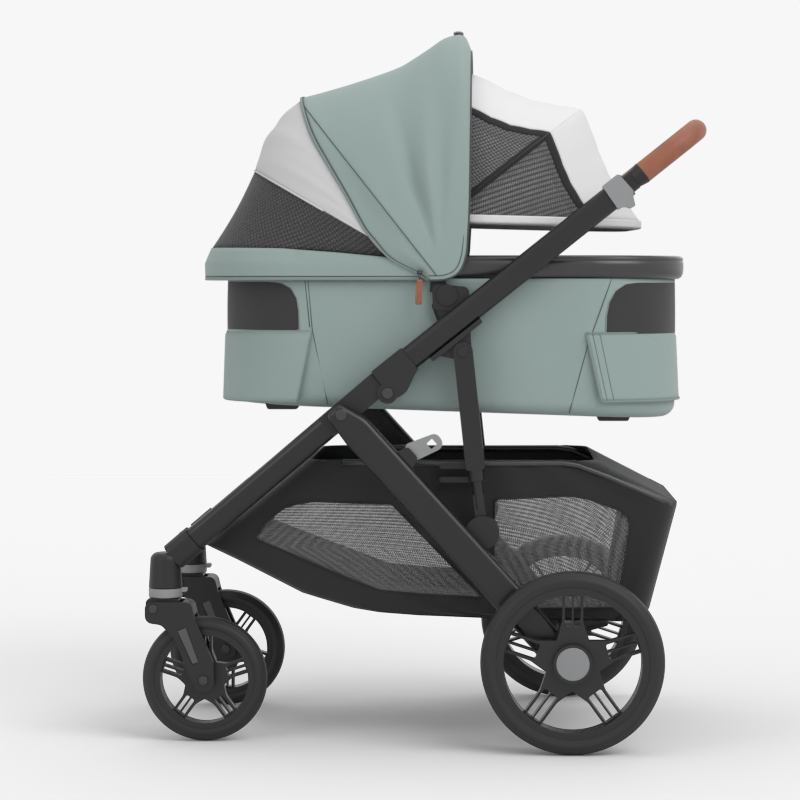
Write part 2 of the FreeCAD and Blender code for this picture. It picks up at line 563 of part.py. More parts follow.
strutRun = strutFoot - strutTop
strutAngle = math.degrees(math.atan2(strutRun.z, strutRun.x))
strutLength = strutRun.Length
for name, side in SIDES:
    y = side * frameHalf
    strut = Piece(f"strut_{name}", side_at(strutTop, strutAngle, y))
    depth, tubeEnd = dim("StrutDepth") / 2, dim("StrutTube")
    strut.pad([rounded([(-depth, -depth, depth - 1), (tubeEnd, -depth, 5), (tubeEnd, depth, 5),
                        (-depth, depth, depth - 1)])], "Dims.StrutWidth")
    rod, tongue = dim("StrutRodRadius"), 7.0
    along = Placement(Vector(tubeEnd - 2, 0, 0), Rotation(Vector(0, 0, 1), Vector(0, 1, 0), Vector(1, 0, 0), "ZXY"))
    strut.pad([circle(rod + 4)], 20, symmetric=False, offset=along)
    strut.pad([circle(rod)], strutLength - tubeEnd - 36, symmetric=False, offset=along)
    strut.pad([rounded([(tubeEnd + 40, -rod + 0.4, 2), (strutLength + rod, -rod + 0.4, 8),
                        (strutLength + rod, rod - 0.4, 8), (tubeEnd + 40, rod - 0.4, 2)])], 2 * tongue)
    strut.pocket([block(-depth - 5, -depth - 5, 32, depth + 5, 2)], 9.4)
    strut.pocket([circle(pinRadius)], 60)
    keep(f"strut_{name}", strut.body)
    middle = abs(y)
    bolt = pin(f"strut_pin_{name}", strutTop, middle - 13, middle + 13, pinRadius, 9, 3, side)
    keep("basket_brackets", bolt.body)

    # two short bars towards the basket, on a shoe against the strut
    shoe = Piece(f"basket_bracket_{name}", side_frame(strutTop.x, strutTop.z, 0, side * (middle - 16)))
    for z in (452 - strutTop.z, 430 - strutTop.z):
        shoe.pad([rounded([(-38, z - 4.5, 4), (34 if z > -190 else 36, z - 4.5, 2),
                           (34 if z > -190 else 36, z + 4.5, 2), (-38, z + 4.5, 4)])], 6)
    shoe.pad([block(8, 430 - strutTop.z - 4.5, 30, 452 - strutTop.z + 8, 3)], 6)
    keep("basket_brackets", shoe.body)

    # closed cup on the inner face of the rear leg that takes the strut's tongue
    foot = Piece(f"strut_foot_{name}", side_at(strutFoot, strutAngle, y))
    inner, outer = tongue + 1, legOuter - dim("RearLegWidth") - abs(y)
    foot.pad([circle(27)], 2 * outer)
    foot.pocket([circle(24)], 2 * inner)
    foot.pocket([rounded([(0, -24), (-40, -34), (-40, 34), (0, 24)])], 2 * inner)
    keep("leg_brackets", foot.body)

# ---------------------------------------------------------------- seat mounts

liftAngle = dim("LiftAngle")
gap = dim("TongueGap")
for name, side in SIDES:
    y = side * frameHalf
    mount = Piece(f"seat_mount_{name}", side_at(joint, dim("UpperAngle"), y))
    strip = -tubeHalf - dim("StripThickness")
    inward = abs(y) - cupInner
    mount.pad([rounded([(dim("StripStart"), strip, 3), (dim("StripEnd"), strip, 3),
                        (dim("StripEnd"), -tubeHalf), (dim("StripStart"), -tubeHalf)])], 24)
    px, py = dim("StrutTopAlong"), -dim("StrutTopDown")
    mount.pad([rounded([(px - 34, strip + 1), (px - 10, py - 10, 9), (px + 10, py - 10, 9),
                        (px + 30, strip + 1)])], 8.4)
    mount.pocket([circle(pinRadius + dim("RunGap"), px, py)], 60)
    # upright cup on the tube's inner face, open along the lift direction
    cup = side_at(Vector(dim("CupX"), 0, dim("CupZ")), liftAngle, y)
    local = mount.body.Placement.inverse() * cup
    nearFace = dim("TubeWidth") / 2
    start = local * Placement(Vector(0, 0, side * nearFace), Rotation())
    low, high, wide = -dim("CupBelow"), dim("CupAbove"), dim("CupWidth") / 2
    thick = inward - nearFace
    mount.pad([block(low, -wide, high, wide, 3)], thick, symmetric=False, offset=start, backwards=side < 0)
    # web from the strip to the cup below the tube
    web = Placement(Vector(0, 0, side * (nearFace - 6)), Rotation())
    mount.pad([block(px - 24, strip, px + 16, -tubeHalf, 2)], inward - nearFace + 6,
              symmetric=False, offset=web, backwards=side < 0)
    tongueHalf = dim("TongueWidth") / 2 + gap
    floor = start * Placement(Vector(0, 0, side * dim("CupOuterWall")), Rotation())
    mount.pocket([block(low + 8, -tongueHalf, high + 10, tongueHalf)],
                 thick - dim("CupOuterWall") - dim("CupInnerWall"), symmetric=False,
                 offset=floor, backwards=side > 0)
    keep("seat_mounts", mount.body)

# ---------------------------------------------------------------- handle and fold release

def swept(edges, radius):
    """Round bar along a chain of edges, with its ends cut square."""
    path = Part.Wire(edges)
    start = path.Edges[0].valueAt(path.Edges[0].FirstParameter)
    tangent = path.Edges[0].tangentAt(path.Edges[0].FirstParameter)
    profile = Part.Wire(Part.Circle(start, tangent, radius).toShape())
    return path.makePipeShell([profile], True, True)


def handle_path(start):
    """U-shaped centre line in the handle's plane: local X up the tubes, local Z across."""
    reach, corner, across = dim("HandleReach"), dim("HandleCorner"), frameHalf
    bend = reach - corner
    slant = math.sqrt(0.5) * corner
    edges = []
    for turn in (-1, 1):
        inner = turn * (across - corner)
        arc = Part.Arc(Vector(bend, 0, turn * across), Vector(bend + slant, 0, inner + turn * slant),
                       Vector(reach, 0, inner)).toShape()
        leg = Part.LineSegment(Vector(start, 0, turn * across), Vector(bend, 0, turn * across)).toShape()
        edges.extend([leg, arc] if turn < 0 else [arc, leg])
        if turn < 0:
            edges.append(Part.LineSegment(Vector(reach, 0, -across + corner),
                                          Vector(reach, 0, across - corner)).toShape())
    return Part.__sortEdges__(edges)


handleFrame = side_at(joint, dim("UpperAngle"), 0)
barRadius = dim("HandleBarRadius")
handleLeg = {}
bent = swept(handle_path(ferruleStart - 6), barRadius)
parts = [bent]
for side in (-1, 1):
    section = Part.Wire([e.toShape() for e in oval(dim("HandleWidth"), dim("HandleDepth"), 10)])
    section.rotate(Vector(), Vector(0, 1, 0), 90)
    section.translate(Vector(handleStart, 0, 0))
    leg = Part.Face(section).extrude(Vector(ferruleStart - handleStart, 0, 0))
    leg.rotate(Vector(), Vector(1, 0, 0), 90)
    leg.translate(Vector(0, 0, side * frameHalf))
    parts.append(leg)
tube = feature("handle_tube", parts[0].fuse(parts[1:]).removeSplitter())
tube.Placement = handleFrame
keep("handle_tube", tube)

button = Piece("handle_button", side_at(joint, dim("UpperAngle"), 0))
reach, grip = dim("HandleReach"), dim("GripRadius")
height, wide = dim("ButtonHeight") / 2, dim("ButtonWidth")
button.pad([rounded([(reach - grip - 3, -height, 2), (reach - barRadius - 4.6, -height),
                     (reach - barRadius - 4.6, height), (reach - grip - 3, height, 2)])], "Dims.ButtonWidth")
keep("handle_button", button.body)

sleeve = swept(handle_path(gripStart), grip)
hole = Part.makeBox(40, 2 * height + 1.0, wide + 1.0,
                    Vector(reach - 40, -height - 0.5, -wide / 2 - 0.5))
grips = sleeve.cut(bent).cut(hole)
leather = feature("handle_grip", grips)
leather.Placement = handleFrame
keep("handle_grip", leather)

for name, side in SIDES:
    y = side * frameHalf
    low, high = ferruleStart, gripStart
    ferrule = Piece(f"grip_collar_{name}", side_at(joint, dim("UpperAngle"), y))
    ferrule.revolve(rounded([(low, barRadius), (high, barRadius), (high, grip + 0.8, 1.5),
                             (low + 3, grip - 2, 2), (low, grip - 3)]), "X_Axis")
    keep("grip_collars", ferrule.body)

    # sliding collar with a finger hook that frees the fold
    slider = Piece(f"fold_slider_{name}", side_at(joint, dim("UpperAngle"), y))
    low = sliderStart
    high = low + dim("SliderLength")
    outer = tubeHalf + dim("SliderGap") + dim("SliderWall")
    slider.pad([rounded([(low + 3, outer, 4), (low, -outer + 1, 3), (low + 12, -outer, 12),
                         (low + 17, -outer - 9, 4), (low + 25, -outer - 11, 4), (high - 6, -outer + 3, 9),
                         (high, -outer + 10, 6), (high - 2, outer, 5)])],
               dim("TubeWidth") + 2 * (dim("SliderGap") + dim("SliderWall")))
    bore = Placement(Vector(low - 10, 0, 0), Rotation(Vector(0, 0, 1), Vector(0, 1, 0), Vector(1, 0, 0), "ZXY"))
    extra = 2 * dim("SliderGap")
    slider.pocket([oval(TUBE[0] + extra, TUBE[1] + extra, TUBE[2] + extra / 2)], 90,
                  symmetric=False, offset=bore, backwards=True)
    keep(f"fold_slider_{name}", slider.body)

# ---------------------------------------------------------------- brake pedal and storage latch

pedal = Piece("brake_pedal", side_frame(rearAxle.x, rearAxle.z, 0, 0))
beamRadius = dim("AxleBeamRadius")
pedal.pad([circle(beamRadius + 6)], "Dims.PedalWidth")
pedal.pad([rounded([(4, 10), (dim("PedalReach"), 27, 3), (dim("PedalReach") + 2, 34, 3), (2, 18)])],
          "Dims.PedalWidth")
pedal.pocket([circle(beamRadius + dim("RunGap"))], 200)
keep("brake_pedal", pedal.body)

latch = Piece("storage_latch", side_at(legPivot, -dim("RearLegAngle"), -rearLegY))
along, up = dim("LatchAlong"), dim("LatchUp")
latch.pad([rounded([(along - 8.5, up - 4, 8), (along + 7.5, up - 4, 8), (along + 15, up + 12, 8),
                    (along + 28, up + 56, 12), (along + 2, up + 60, 12), (along - 17, up + 12, 8)])],
          "Dims.LatchThickness")
latch.pocket([block(along + 4, up + 36, along + 16, up + 48, 1.5)], 20)
latch.pocket([circle(3 + dim("RunGap"), along, up + 4)], 20)
keep("storage_latch", latch.body)
# ears either side of the latch, on the leg's upper edge
ears = Piece("latch_bracket", side_at(legPivot, -dim("RearLegAngle"), -rearLegY))
top = legHalf
ears.pad([rounded([(along - 18, top), (along + 18, top), (along + 12, up + 11, 7), (along - 12, up + 11, 7)])], 14)
ears.pocket([rounded([(along - 40, top + 1.5), (along - 6, top + 1.5), (along - 6, top - 1), (along + 40, top - 1),
                      (along + 40, up + 40), (along - 40, up + 40)])], dim("LatchThickness") + 0.8)
ears.pad([circle(3, along, up + 4)], 12)
keep("leg_brackets", ears.body)

# ---------------------------------------------------------------- bassinet

front, back, half = dim("TubFront"), dim("TubBack"), tubHalf
middleX = (front + back) / 2
bottomFront, bottomBack = dim("TubBottomFront"), dim("TubBottomBack")
slope = (bottomBack - bottomFront) / (back - front)


def bottom_at(x):
    return bottomFront + slope * (x - front)


def plan(x0, x1, halfWidth, corner):
    """Rounded plan outline of the bassinet or something that follows it."""
    return rounded([(x0, -halfWidth, corner), (x1, -halfWidth, corner),
                    (x1, halfWidth, corner), (x0, halfWidth, corner)])


corner, wall = dim("TubCorner"), dim("TubWall")
sideways = Placement(Vector(), Rotation(Vector(1, 0, 0), 90))
tub = Piece("bassinet_tub")
tub.pad([rounded([(front - 5, bottom_at(front - 5)), (back + 5, bottom_at(back + 5)),
                  (back + 5, dim("TubTop")), (front - 5, dim("TubTop"))])], 2 * half + 10, offset=sideways)
tub.pocket([block(front - 60, -half - 60, back + 60, half + 60), plan(front, back, half, corner)],
           2000)
tub.round_edges(lambda e: e.BoundBox.ZMax < bottomFront + 1, "Dims.TubEdge")
floorZ = bottomFront + dim("TubFloor")
tub.pocket([plan(front + wall, back - wall, half - wall, corner - wall)], 400, symmetric=False,
           offset=lift_to(floorZ), backwards=True)
keep("bassinet_tub", tub.body)

over, endOver, width = dim("RimOver"), dim("RimEndOver"), dim("RimWidth")
rim = Piece("bassinet_rim")
rim.pad([plan(front - endOver, back + endOver, half + over, corner + over),
         plan(front - endOver + width, back + endOver - width, half + over - width + 6, corner - width)],
        dim("RimTop") - dim("TubTop"), symmetric=False, offset=lift_to(dim("TubTop")))
rim.round_edges(lambda e: e.BoundBox.ZMin > dim("RimTop") - 0.1, "Dims.RimRound")
keep("bassinet_rim", rim.body)

inset = wall + dim("MattressGap")
mattress = Piece("bassinet_mattress")
mattress.pad([plan(front + inset, back - inset, half - inset, corner - inset)],
             "Dims.MattressThickness", symmetric=False, offset=lift_to(floorZ))
mattress.round_edges(lambda e: e.BoundBox.ZMin > floorZ + dim("MattressThickness") - 0.1, "10")
keep("bassinet_mattress", mattress.body)

band = Piece("canopy_base")
bandHalf, bandFront = tubHalf + dim("BandOver"), dim("BandFront")
band.pad([plan(bandFront, back + endOver + 1, bandHalf, corner + over),
          plan(front - endOver, back + endOver, half + over, corner + over)],
         dim("BandTop") - dim("TubTop"), symmetric=False, offset=lift_to(dim("TubTop")))
band.pocket([block(dim("BandEndX"), -300, 700, 300)], 3000)
keep("canopy_base", band.body)

for x in (-230.5, 309.5):
    for side in (-1, 1):
        foot = Piece(f"foot_{'front' if x < 0 else 'rear'}_{'left' if side < 0 else 'right'}",
                     side_frame(0, 0, 0, side * 150))
        low = bottom_at(x) - 9.5
        foot.pad([rounded([(x - 28, bottom_at(x - 28)), (x - 24, low, 4), (x + 24, low, 4),
                           (x + 28, bottom_at(x + 28))])], 26)
        keep("bassinet_feet", foot.body)

for name, side in SIDES:
    cup = side_at(Vector(dim("CupX"), 0, dim("CupZ")), liftAngle, side * half)
    hubs = Piece(f"bassinet_hub_{name}", side_frame(0, 0, 0, side * half))
    outer = hubOuter - half
    cx, wide, top = dim("CupX") - 4.5, dim("HubWidth") / 2, dim("HubTop")
    low = dim("CupZ") + dim("CupAbove") + 12
    grow = side > 0
    hubs.pad([rounded([(cx - wide + 2, low, 6), (cx + wide, low - 6, 6), (cx + wide, top - 6, 10),
                       (cx - wide, top, 10)])], outer, symmetric=False, backwards=grow)
    local = hubs.body.Placement.inverse() * cup
    hubs.pad([block(-2, -20, 50, 20, 4)], 4.4, symmetric=False, offset=local, backwards=grow)
    # tongue that drops into the cup on the frame
    inward = cupInner + dim("CupInnerWall") + gap - half
    outward = frameHalf - dim("TubeWidth") / 2 - dim("CupOuterWall") - gap - half
    tongue = local * Placement(Vector(0, 0, -side * inward), Rotation())
    tongueHalf = dim("TongueWidth") / 2
    hubs.pad([rounded([(-dim("CupBelow") + 12, -tongueHalf, 4), (48, -tongueHalf), (48, tongueHalf),
                       (-dim("CupBelow") + 12, tongueHalf, 4)])], outward - inward,
             symmetric=False, offset=tongue, backwards=grow)
    # ear and pin for the canopy bows
    px, pz = dim("CanopyX"), dim("CanopyZ")
    ear = lift_to(-side * (over + 0.2))
    hubs.pad([rounded([(px - 12, top - 14), (px + 20, top - 14), (px + 8, pz + 9, 8), (px - 9, pz + 9, 8)])], 2.4,
             symmetric=False, offset=ear, backwards=grow)
    hubs.pad([circle(4, px, pz)], 15, symmetric=False, offset=ear, backwards=grow)
    bx, bz, br = dim("HubButtonX"), dim("HubButtonZ"), dim("HubButtonRadius")
    hubs.pocket([circle(br - 1.5, bx, bz)], 6, symmetric=False, offset=lift_to(-side * outer),
                backwards=side > 0)
    keep("bassinet_hubs", hubs.body)

    push = Piece(f"bassinet_button_{name}", side_frame(bx, bz, 0, side * hubOuter))
    push.pad([circle(br - 1.9)], 5.0, symmetric=False, offset=lift_to(side * 2.7), backwards=grow)
    push.pocket([circle(br - 7)], 0.8, symmetric=False, offset=lift_to(-side * 2.3), backwards=side > 0)
    keep(f"bassinet_button_{name}", push.body)

# ---------------------------------------------------------------- canopy

ARCH_POWER = 3.2


def arch_point(radius, halfWidth, t):
    """Point of a hood arch: t runs 0..1 from the left foot over the top to the right foot."""
    a = math.pi * t
    sideways, upward = math.cos(a), math.sin(a)
    across = math.copysign(abs(sideways) ** (2 / ARCH_POWER), -sideways) * halfWidth
    return across, max(upward, 0.0) ** (2 / ARCH_POWER) * radius


def arch_steps(radius, start, count):
    """Parameters whose points begin and end at the start radius."""
    first = math.asin((start / radius) ** (ARCH_POWER / 2)) / math.pi
    return [first + (1 - 2 * first) * i / (count - 1) for i in range(count)]


def wire_bow(label, pivot, angle, radius, halfWidth, thickness, boss, foot, eyes=()):
    """Bent rod over the hood that starts from a flat link at each foot, with an eye in the link."""
    place = side_at(pivot, angle, 0)
    points = [Vector(d, 0, -y) for y, d in
              (arch_point(radius, halfWidth, t) for t in arch_steps(radius, foot - 4, 25))]
    curve = Part.BSplineCurve()
    curve.interpolate(points)
    solid = swept([curve.toShape()], thickness)
    for side in (-1, 1):
        low, high, outer, inner = boss
        disc = Part.makeCylinder(outer, high - low, Vector(0, 0, -side * low), Vector(0, 0, -side))
        middle = -side * (low + high) / 2
        link = Part.makeBox(foot, 2 * thickness + 3, high - low,
                            Vector(0, -thickness - 1.5, middle - (high - low) / 2))
        solid = solid.fuse([disc, link])
        solid = solid.cut(Part.makeCylinder(inner, 40, Vector(0, 0, -side * (low - 10)),
                                            Vector(0, 0, -side)))
    for x, z, low, high, size in eyes:
        local = place.inverse().multVec(Vector(x, 0, z))
        for side in (-1, 1):
            solid = solid.fuse(Part.makeCylinder(size, high - low, Vector(local.x, local.y, -side * low),
                                                 Vector(0, 0, -side)))
    bow = feature(label, solid.removeSplitter())
    bow.Placement = place
    keep(label, bow)


def hood(label, pivot, ribs, halfWidth, start, sag, rows=5, columns=17):
    """Fabric shell over a fan of ribs, given as (angle, radius), closed along its edges."""
    thickness = dim("FabricThickness")

    def surface(inset):
        grid = []
        for (a0, r0), (a1, r1) in zip(ribs, ribs[1:]):
            for i in range(rows if (a1, r1) == ribs[-1] else rows - 1):
                f = i / (rows - 1)
                dip = sag * math.sin(math.pi * f)
                angle = a0 + (a1 - a0) * f
                radius = r0 + (r1 - r0) * f - dip - inset
                wide = halfWidth - dip * 0.3 - inset
                line = []
                for t in arch_steps(radius, start, columns):
                    y, d = arch_point(radius, wide, t)
                    p = pivot + direction(angle) * d
                    line.append(Vector(p.x, y, p.z))
                grid.append(line)
        patch = Part.BSplineSurface()
        patch.interpolate(grid)
        return patch.toShape(), grid

    outer, og = surface(0.0)
    inner, ig = surface(thickness)
    faces = [outer, inner]
    for e in outer.Edges:
        match = min(inner.Edges, key=lambda k: (k.CenterOfMass - e.CenterOfMass).Length)
        faces.append(Part.makeRuledSurface(e, match))
    shell = Part.makeShell(faces)
    shell.sewShape()
    solid = Part.makeSolid(shell)
    if solid.Volume < 0:
        solid.reverse()
    skin = feature(label, solid)
    keep(label, skin)


wire_bow("canopy_front_bow", canopyPivot, dim("FrontBowAngle"), dim("FrontBowRadius") - 8,
         canopyHalf - 8.7, dim("BowRadius"), (canopyHalf - 9.7, canopyHalf - 5.5, 9.0, 4.1), 34.0,
         eyes=[(dim("ShadeX"), dim("ShadeZ"), shadeHalf - 19, canopyHalf - 9.5, 2.5)])
wire_bow("canopy_rear_bow", canopyPivot, dim("RearBowAngle"), dim("RearBowRadius") - 8,
         canopyHalf - 13.2, dim("BowRadius") - 0.3, (canopyHalf - 16, canopyHalf - 12.5, 9.0, 4.1), 34.0)
wire_bow("sunshade_middle_rib", shadePivot, dim("ShadeMidAngle"), dim("ShadeMidRadius") - 10,
         shadeHalf - 10.5, dim("RibRadius"), (shadeHalf - 12.1, shadeHalf - 8.9, 7.0, 2.6), 10.0)
wire_bow("sunshade_front_rib", shadePivot, dim("ShadeLowAngle"), dim("ShadeLowRadius") - 11,
         shadeHalf - 16.2, dim("RibRadius"), (shadeHalf - 17.8, shadeHalf - 14.6, 7.0, 2.6), 10.0)
hood("canopy_fabric", canopyPivot,
     [(dim("FrontBowAngle"), dim("FrontBowRadius")), (dim("RearBowAngle") - 1, dim("RearBowRadius"))],
     canopyHalf, dim("CanopyStart"), 3.0)
hood("canopy_rear_fabric", canopyPivot,
     [(dim("RearBowAngle") + 1, dim("RearBowRadius")), (dim("RearRibAngle"), dim("RearRibRadius")),
      (dim("BaseAngle"), dim("BaseRadius"))], canopyHalf, dim("CanopyStart"), 2.0)
hood("sunshade_fabric", shadePivot,
     [(dim("ShadeLowAngle"), dim("ShadeLowRadius")), (dim("ShadeMidAngle"), dim("ShadeMidRadius")),
      (dim("ShadeTopAngle"), dim("ShadeTopRadius"))], shadeHalf, dim("CanopyStart"), 3.0)

# ---------------------------------------------------------------- storage basket

wall = dim("BasketWall")


basketHalf = frameHalf - dim("BasketGap")


def basket_block(inset):
    """Solid inside the basket's side outline and plan outline, both drawn in by the inset."""
    top = dim("BasketTop")
    outline = [(-350, 316, 6), (-298, 291, 20), (-198, 240, 60), (-92, 212, 60), (-4, 206, 60),
               (317, 200, 25), (368, 216, 30), (414, 391, 10), (252, top, 12), (-143, top, 12)]
    cx, cz = 32.5, 340.0
    shape = []
    for x, z, r in outline:
        v = Vector(x - cx, z - cz, 0)
        k = (v.Length - inset * 1.35) / v.Length
        shape.append((cx + v.x * k, cz + v.y * k, max(r - inset, 1)))
    side_face = Part.Face(Part.Wire(Part.__sortEdges__([e.toShape() for e in rounded(shape)])))
    side_face.rotate(Vector(), Vector(1, 0, 0), 90)
    side_face.translate(Vector(0, 300, 0))
    body = side_face.extrude(Vector(0, -600, 0))
    wide, nose = basketHalf - inset, frontWheelY - dim("NoseGap") - inset
    flat = [(-358, -nose, 20), (-108, -wide, 60), (422 - inset, -wide, 40),
            (422 - inset, wide, 40), (-108, wide, 60), (-358, nose, 20)]
    top_face = Part.Face(Part.Wire(Part.__sortEdges__([e.toShape() for e in rounded(flat)])))
    return body.common(top_face.extrude(Vector(0, 0, 900)))


bag = basket_block(0)
hollow = basket_block(wall)
mouth = Part.makeBox(430, 2 * (basketHalf - 22), 60, Vector(-163, -basketHalf + 22, 440))
bagItem = feature("basket_bag", bag.cut(hollow).cut(mouth))
keep("basket_bag", bagItem)

# ---------------------------------------------------------------- checks and export

doc.recompute()
for item in doc.Objects:
    if "Invalid" in item.State or "Error" in item.State:
        raise RuntimeError(f"{item.Label} did not build: {item.State}")
for node, items in shapes.items():
    for item in items:
        if item.Shape.isNull() or not item.Shape.isValid():
            raise RuntimeError(f"{node} has no valid shape")

os.makedirs("parts", exist_ok=True)
for node, items in shapes.items():
    solids = [solid for item in items for solid in item.Shape.Solids]
    shape = solids[0] if len(solids) == 1 else Part.makeCompound(solids)
    shape.exportStep(f"parts/{node}.step")
print(len(shapes), "nodes written")
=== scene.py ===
import math

import bmesh
import bpy
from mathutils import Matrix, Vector


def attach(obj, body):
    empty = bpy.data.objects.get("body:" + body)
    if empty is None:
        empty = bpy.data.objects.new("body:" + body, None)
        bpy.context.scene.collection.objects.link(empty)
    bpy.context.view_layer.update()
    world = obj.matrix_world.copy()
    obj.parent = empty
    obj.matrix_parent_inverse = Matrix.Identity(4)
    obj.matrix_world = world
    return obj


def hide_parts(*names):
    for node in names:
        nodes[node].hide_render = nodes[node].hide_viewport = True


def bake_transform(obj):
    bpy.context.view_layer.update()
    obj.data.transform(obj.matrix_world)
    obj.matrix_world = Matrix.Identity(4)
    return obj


# Looks of the folding pram: fabrics, trim, finishes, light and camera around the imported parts.

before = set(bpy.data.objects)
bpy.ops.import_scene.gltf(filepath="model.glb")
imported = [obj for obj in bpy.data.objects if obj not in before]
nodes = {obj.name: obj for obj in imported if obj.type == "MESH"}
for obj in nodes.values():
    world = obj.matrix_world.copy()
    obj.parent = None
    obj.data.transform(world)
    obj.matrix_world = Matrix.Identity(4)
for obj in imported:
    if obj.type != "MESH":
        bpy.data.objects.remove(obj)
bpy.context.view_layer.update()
print("frame loaded")

mm = 0.001
canopyPivot = Vector((23.3, 0, 757.8)) * mm
shadePivot = Vector((32.5, 0, 854.0)) * mm
bandUnit = 0.314  # width of one band of a wave node at scale 1


# nodes and materials

def fill(tree, made, values, links):
    for socket, value in values.items():
        made.inputs[socket].default_value = value
    for socket, source in links.items():
        tree.links.new(source, made.inputs[socket])


def node(tree, kind, values={}, links={}, **settings):
    made = tree.nodes.new(kind)
    for key, value in settings.items():
        setattr(made, key, value)
    fill(tree, made, values, links)
    return made


def newMaterial(name):
    material = bpy.data.materials.new(name)
    material.use_nodes = True
    tree = material.node_tree
    return material, tree, tree.nodes["Principled BSDF"]


def mixColour(tree, factor, low, high):
    ends = {6: (*low, 1), 7: (*high, 1)}
    return node(tree, "ShaderNodeMix", ends, {0: factor}, data_type="RGBA").outputs[2]


def relief(tree, height, strength, distance, **settings):
    depth = {"Strength": strength, "Distance": distance}
    return node(tree, "ShaderNodeBump", depth, {"Height": height}, **settings)


def scaled(colour, by):
    return tuple(min(1.0, c * by) for c in colour)


def rigid(name, colour, rough, grain=0.0, metal=0.0, coat=0.0, shine=0.36):  # moulded or coated
    material, tree, shader = newMaterial(name)
    place = node(tree, "ShaderNodeTexCoord").outputs["Object"]
    cloud = node(tree, "ShaderNodeTexNoise", {"Scale": 22, "Detail": 5}, {"Vector": place}).outputs["Fac"]
    ends = {"To Min": max(0.05, rough - 0.06), "To Max": min(1.0, rough + 0.08)}
    gloss = node(tree, "ShaderNodeMapRange", ends, {"Value": cloud})
    fill(tree, shader,
         {"Metallic": metal, "Specular IOR Level": shine, "Coat Weight": coat, "Coat Roughness": 0.25},
         {"Base Color": mixColour(tree, cloud, scaled(colour, 0.94), scaled(colour, 1.06)),
          "Roughness": gloss.outputs["Result"]})
    if grain:
        fine = node(tree, "ShaderNodeTexNoise", {"Scale": 900}, {"Vector": place})
        bump = relief(tree, fine.outputs["Fac"], grain, 0.0004)
        tree.links.new(bump.outputs["Normal"], shader.inputs["Normal"])
    return material


def woven(name, colour, thread=0.0011, weave=0.35, sheen=0.25, fleck=0.10):  # plain weave, thread in metres
    material, tree, shader = newMaterial(name)
    place = node(tree, "ShaderNodeTexCoord")
    flat = place.outputs["UV"]
    warp, weft = (node(tree, "ShaderNodeTexWave", {"Scale": bandUnit / thread}, {"Vector": flat},
                       bands_direction=axis).outputs["Fac"] for axis in ("X", "Y"))
    cross = node(tree, "ShaderNodeMath", {}, {0: warp, 1: weft}, operation="MULTIPLY").outputs[0]
    cloud = node(tree, "ShaderNodeTexNoise", {"Scale": 620, "Detail": 3}, {"Vector": flat}).outputs["Fac"]
    broad = node(tree, "ShaderNodeTexNoise", {"Scale": 7}, {"Vector": place.outputs["Object"]}).outputs["Fac"]
    flecks = mixColour(tree, cloud, scaled(colour, 1 - fleck), scaled(colour, 1 + fleck))
    wear = mixColour(tree, broad, scaled(colour, 0.97), scaled(colour, 1.03))
    both = node(tree, "ShaderNodeMix", {0: 0.4}, {6: flecks, 7: wear}, data_type="RGBA")
    threads = relief(tree, cross, weave, 0.0004)
    folds = relief(tree, broad, 0.25, 0.004)
    tree.links.new(threads.outputs["Normal"], folds.inputs["Normal"])
    fill(tree, shader,
         {"Roughness": 0.85, "Sheen Weight": sheen, "Sheen Roughness": 0.45, "Specular IOR Level": 0.25},
         {"Base Color": both.outputs[2], "Normal": folds.outputs["Normal"]})
    return material


def netCells(tree, net):  # 0 in a hole, 1 on the threads
    place = node(tree, "ShaderNodeTexCoord").outputs["UV"]
    grid = {"Rotation": (0, 0, math.radians(45)), "Scale": (1 / net["pitch"], 1 / net["pitch"], 1)}
    turn = node(tree, "ShaderNodeMapping", grid, {"Vector": place}).outputs["Vector"]
    even = {"Scale": 1, "Randomness": 0.0}
    cells = node(tree, "ShaderNodeTexVoronoi", even, {"Vector": turn}, feature="F1")
    edge = node(tree, "ShaderNodeMapRange", {"From Min": net["hole"] - 0.16, "From Max": net["hole"] + 0.16},
                {"Value": cells.outputs["Distance"]}, interpolation_type="SMOOTHSTEP")
    return edge.outputs["Result"]


def moireOf(tree, tint, pitch):  # soft bands, as two layers of net give
    place = node(tree, "ShaderNodeTexCoord").outputs["UV"]
    bands = node(tree, "ShaderNodeTexWave",
                 {"Scale": bandUnit / pitch, "Distortion": 3.0, "Detail": 1.0, "Detail Scale": 0.8},
                 {"Vector": place}, bands_direction="X")
    shadeOf = mixColour(tree, bands.outputs["Fac"], (0.60, 0.60, 0.60), (1, 1, 1))
    return node(tree, "ShaderNodeMix", {0: 1.0}, {6: tint, 7: shadeOf}, data_type="RGBA",
                blend_type="MULTIPLY").outputs[2]


def netLook(tree, shader, net):
    edge = netCells(tree, net)
    # the holes are painted with the light seen through them, lighter than the dark threads
    tint = mixColour(tree, edge, net["gap"], net["thread"])
    if "moire" in net:
        tint = moireOf(tree, tint, net["moire"])
    solid = {"To Min": 1 - net["open"], "To Max": 1 - net["open"] * net["veil"]}
    through = node(tree, "ShaderNodeMapRange", solid, {"Value": edge})
    bump = relief(tree, edge, 0.4, 0.0005)
    fill(tree, shader, {"Roughness": 0.8, "Sheen Weight": 0.15},
         {"Base Color": tint, "Alpha": through.outputs["Result"], "Normal": bump.outputs["Normal"]})


def netting(name, net):
    material, tree, shader = newMaterial(name)
    netLook(tree, shader, net)
    return material


def patched(name, colour, thread, net, weave=0.35):  # cloth with net where the window attribute is positive
    cloth = woven(name, colour, thread, weave)
    tree = cloth.node_tree
    pane = node(tree, "ShaderNodeBsdfPrincipled")
    netLook(tree, pane, net)
    depth = node(tree, "ShaderNodeAttribute", attribute_name="window")
    cut = node(tree, "ShaderNodeMath", {1: 0.0}, {0: depth.outputs["Fac"]}, operation="GREATER_THAN")
    both = node(tree, "ShaderNodeMixShader", {},
                {0: cut.outputs[0], 1: tree.nodes["Principled BSDF"].outputs[0], 2: pane.outputs[0]})
    tree.links.new(both.outputs[0], tree.nodes["Material Output"].inputs["Surface"])
    return cloth


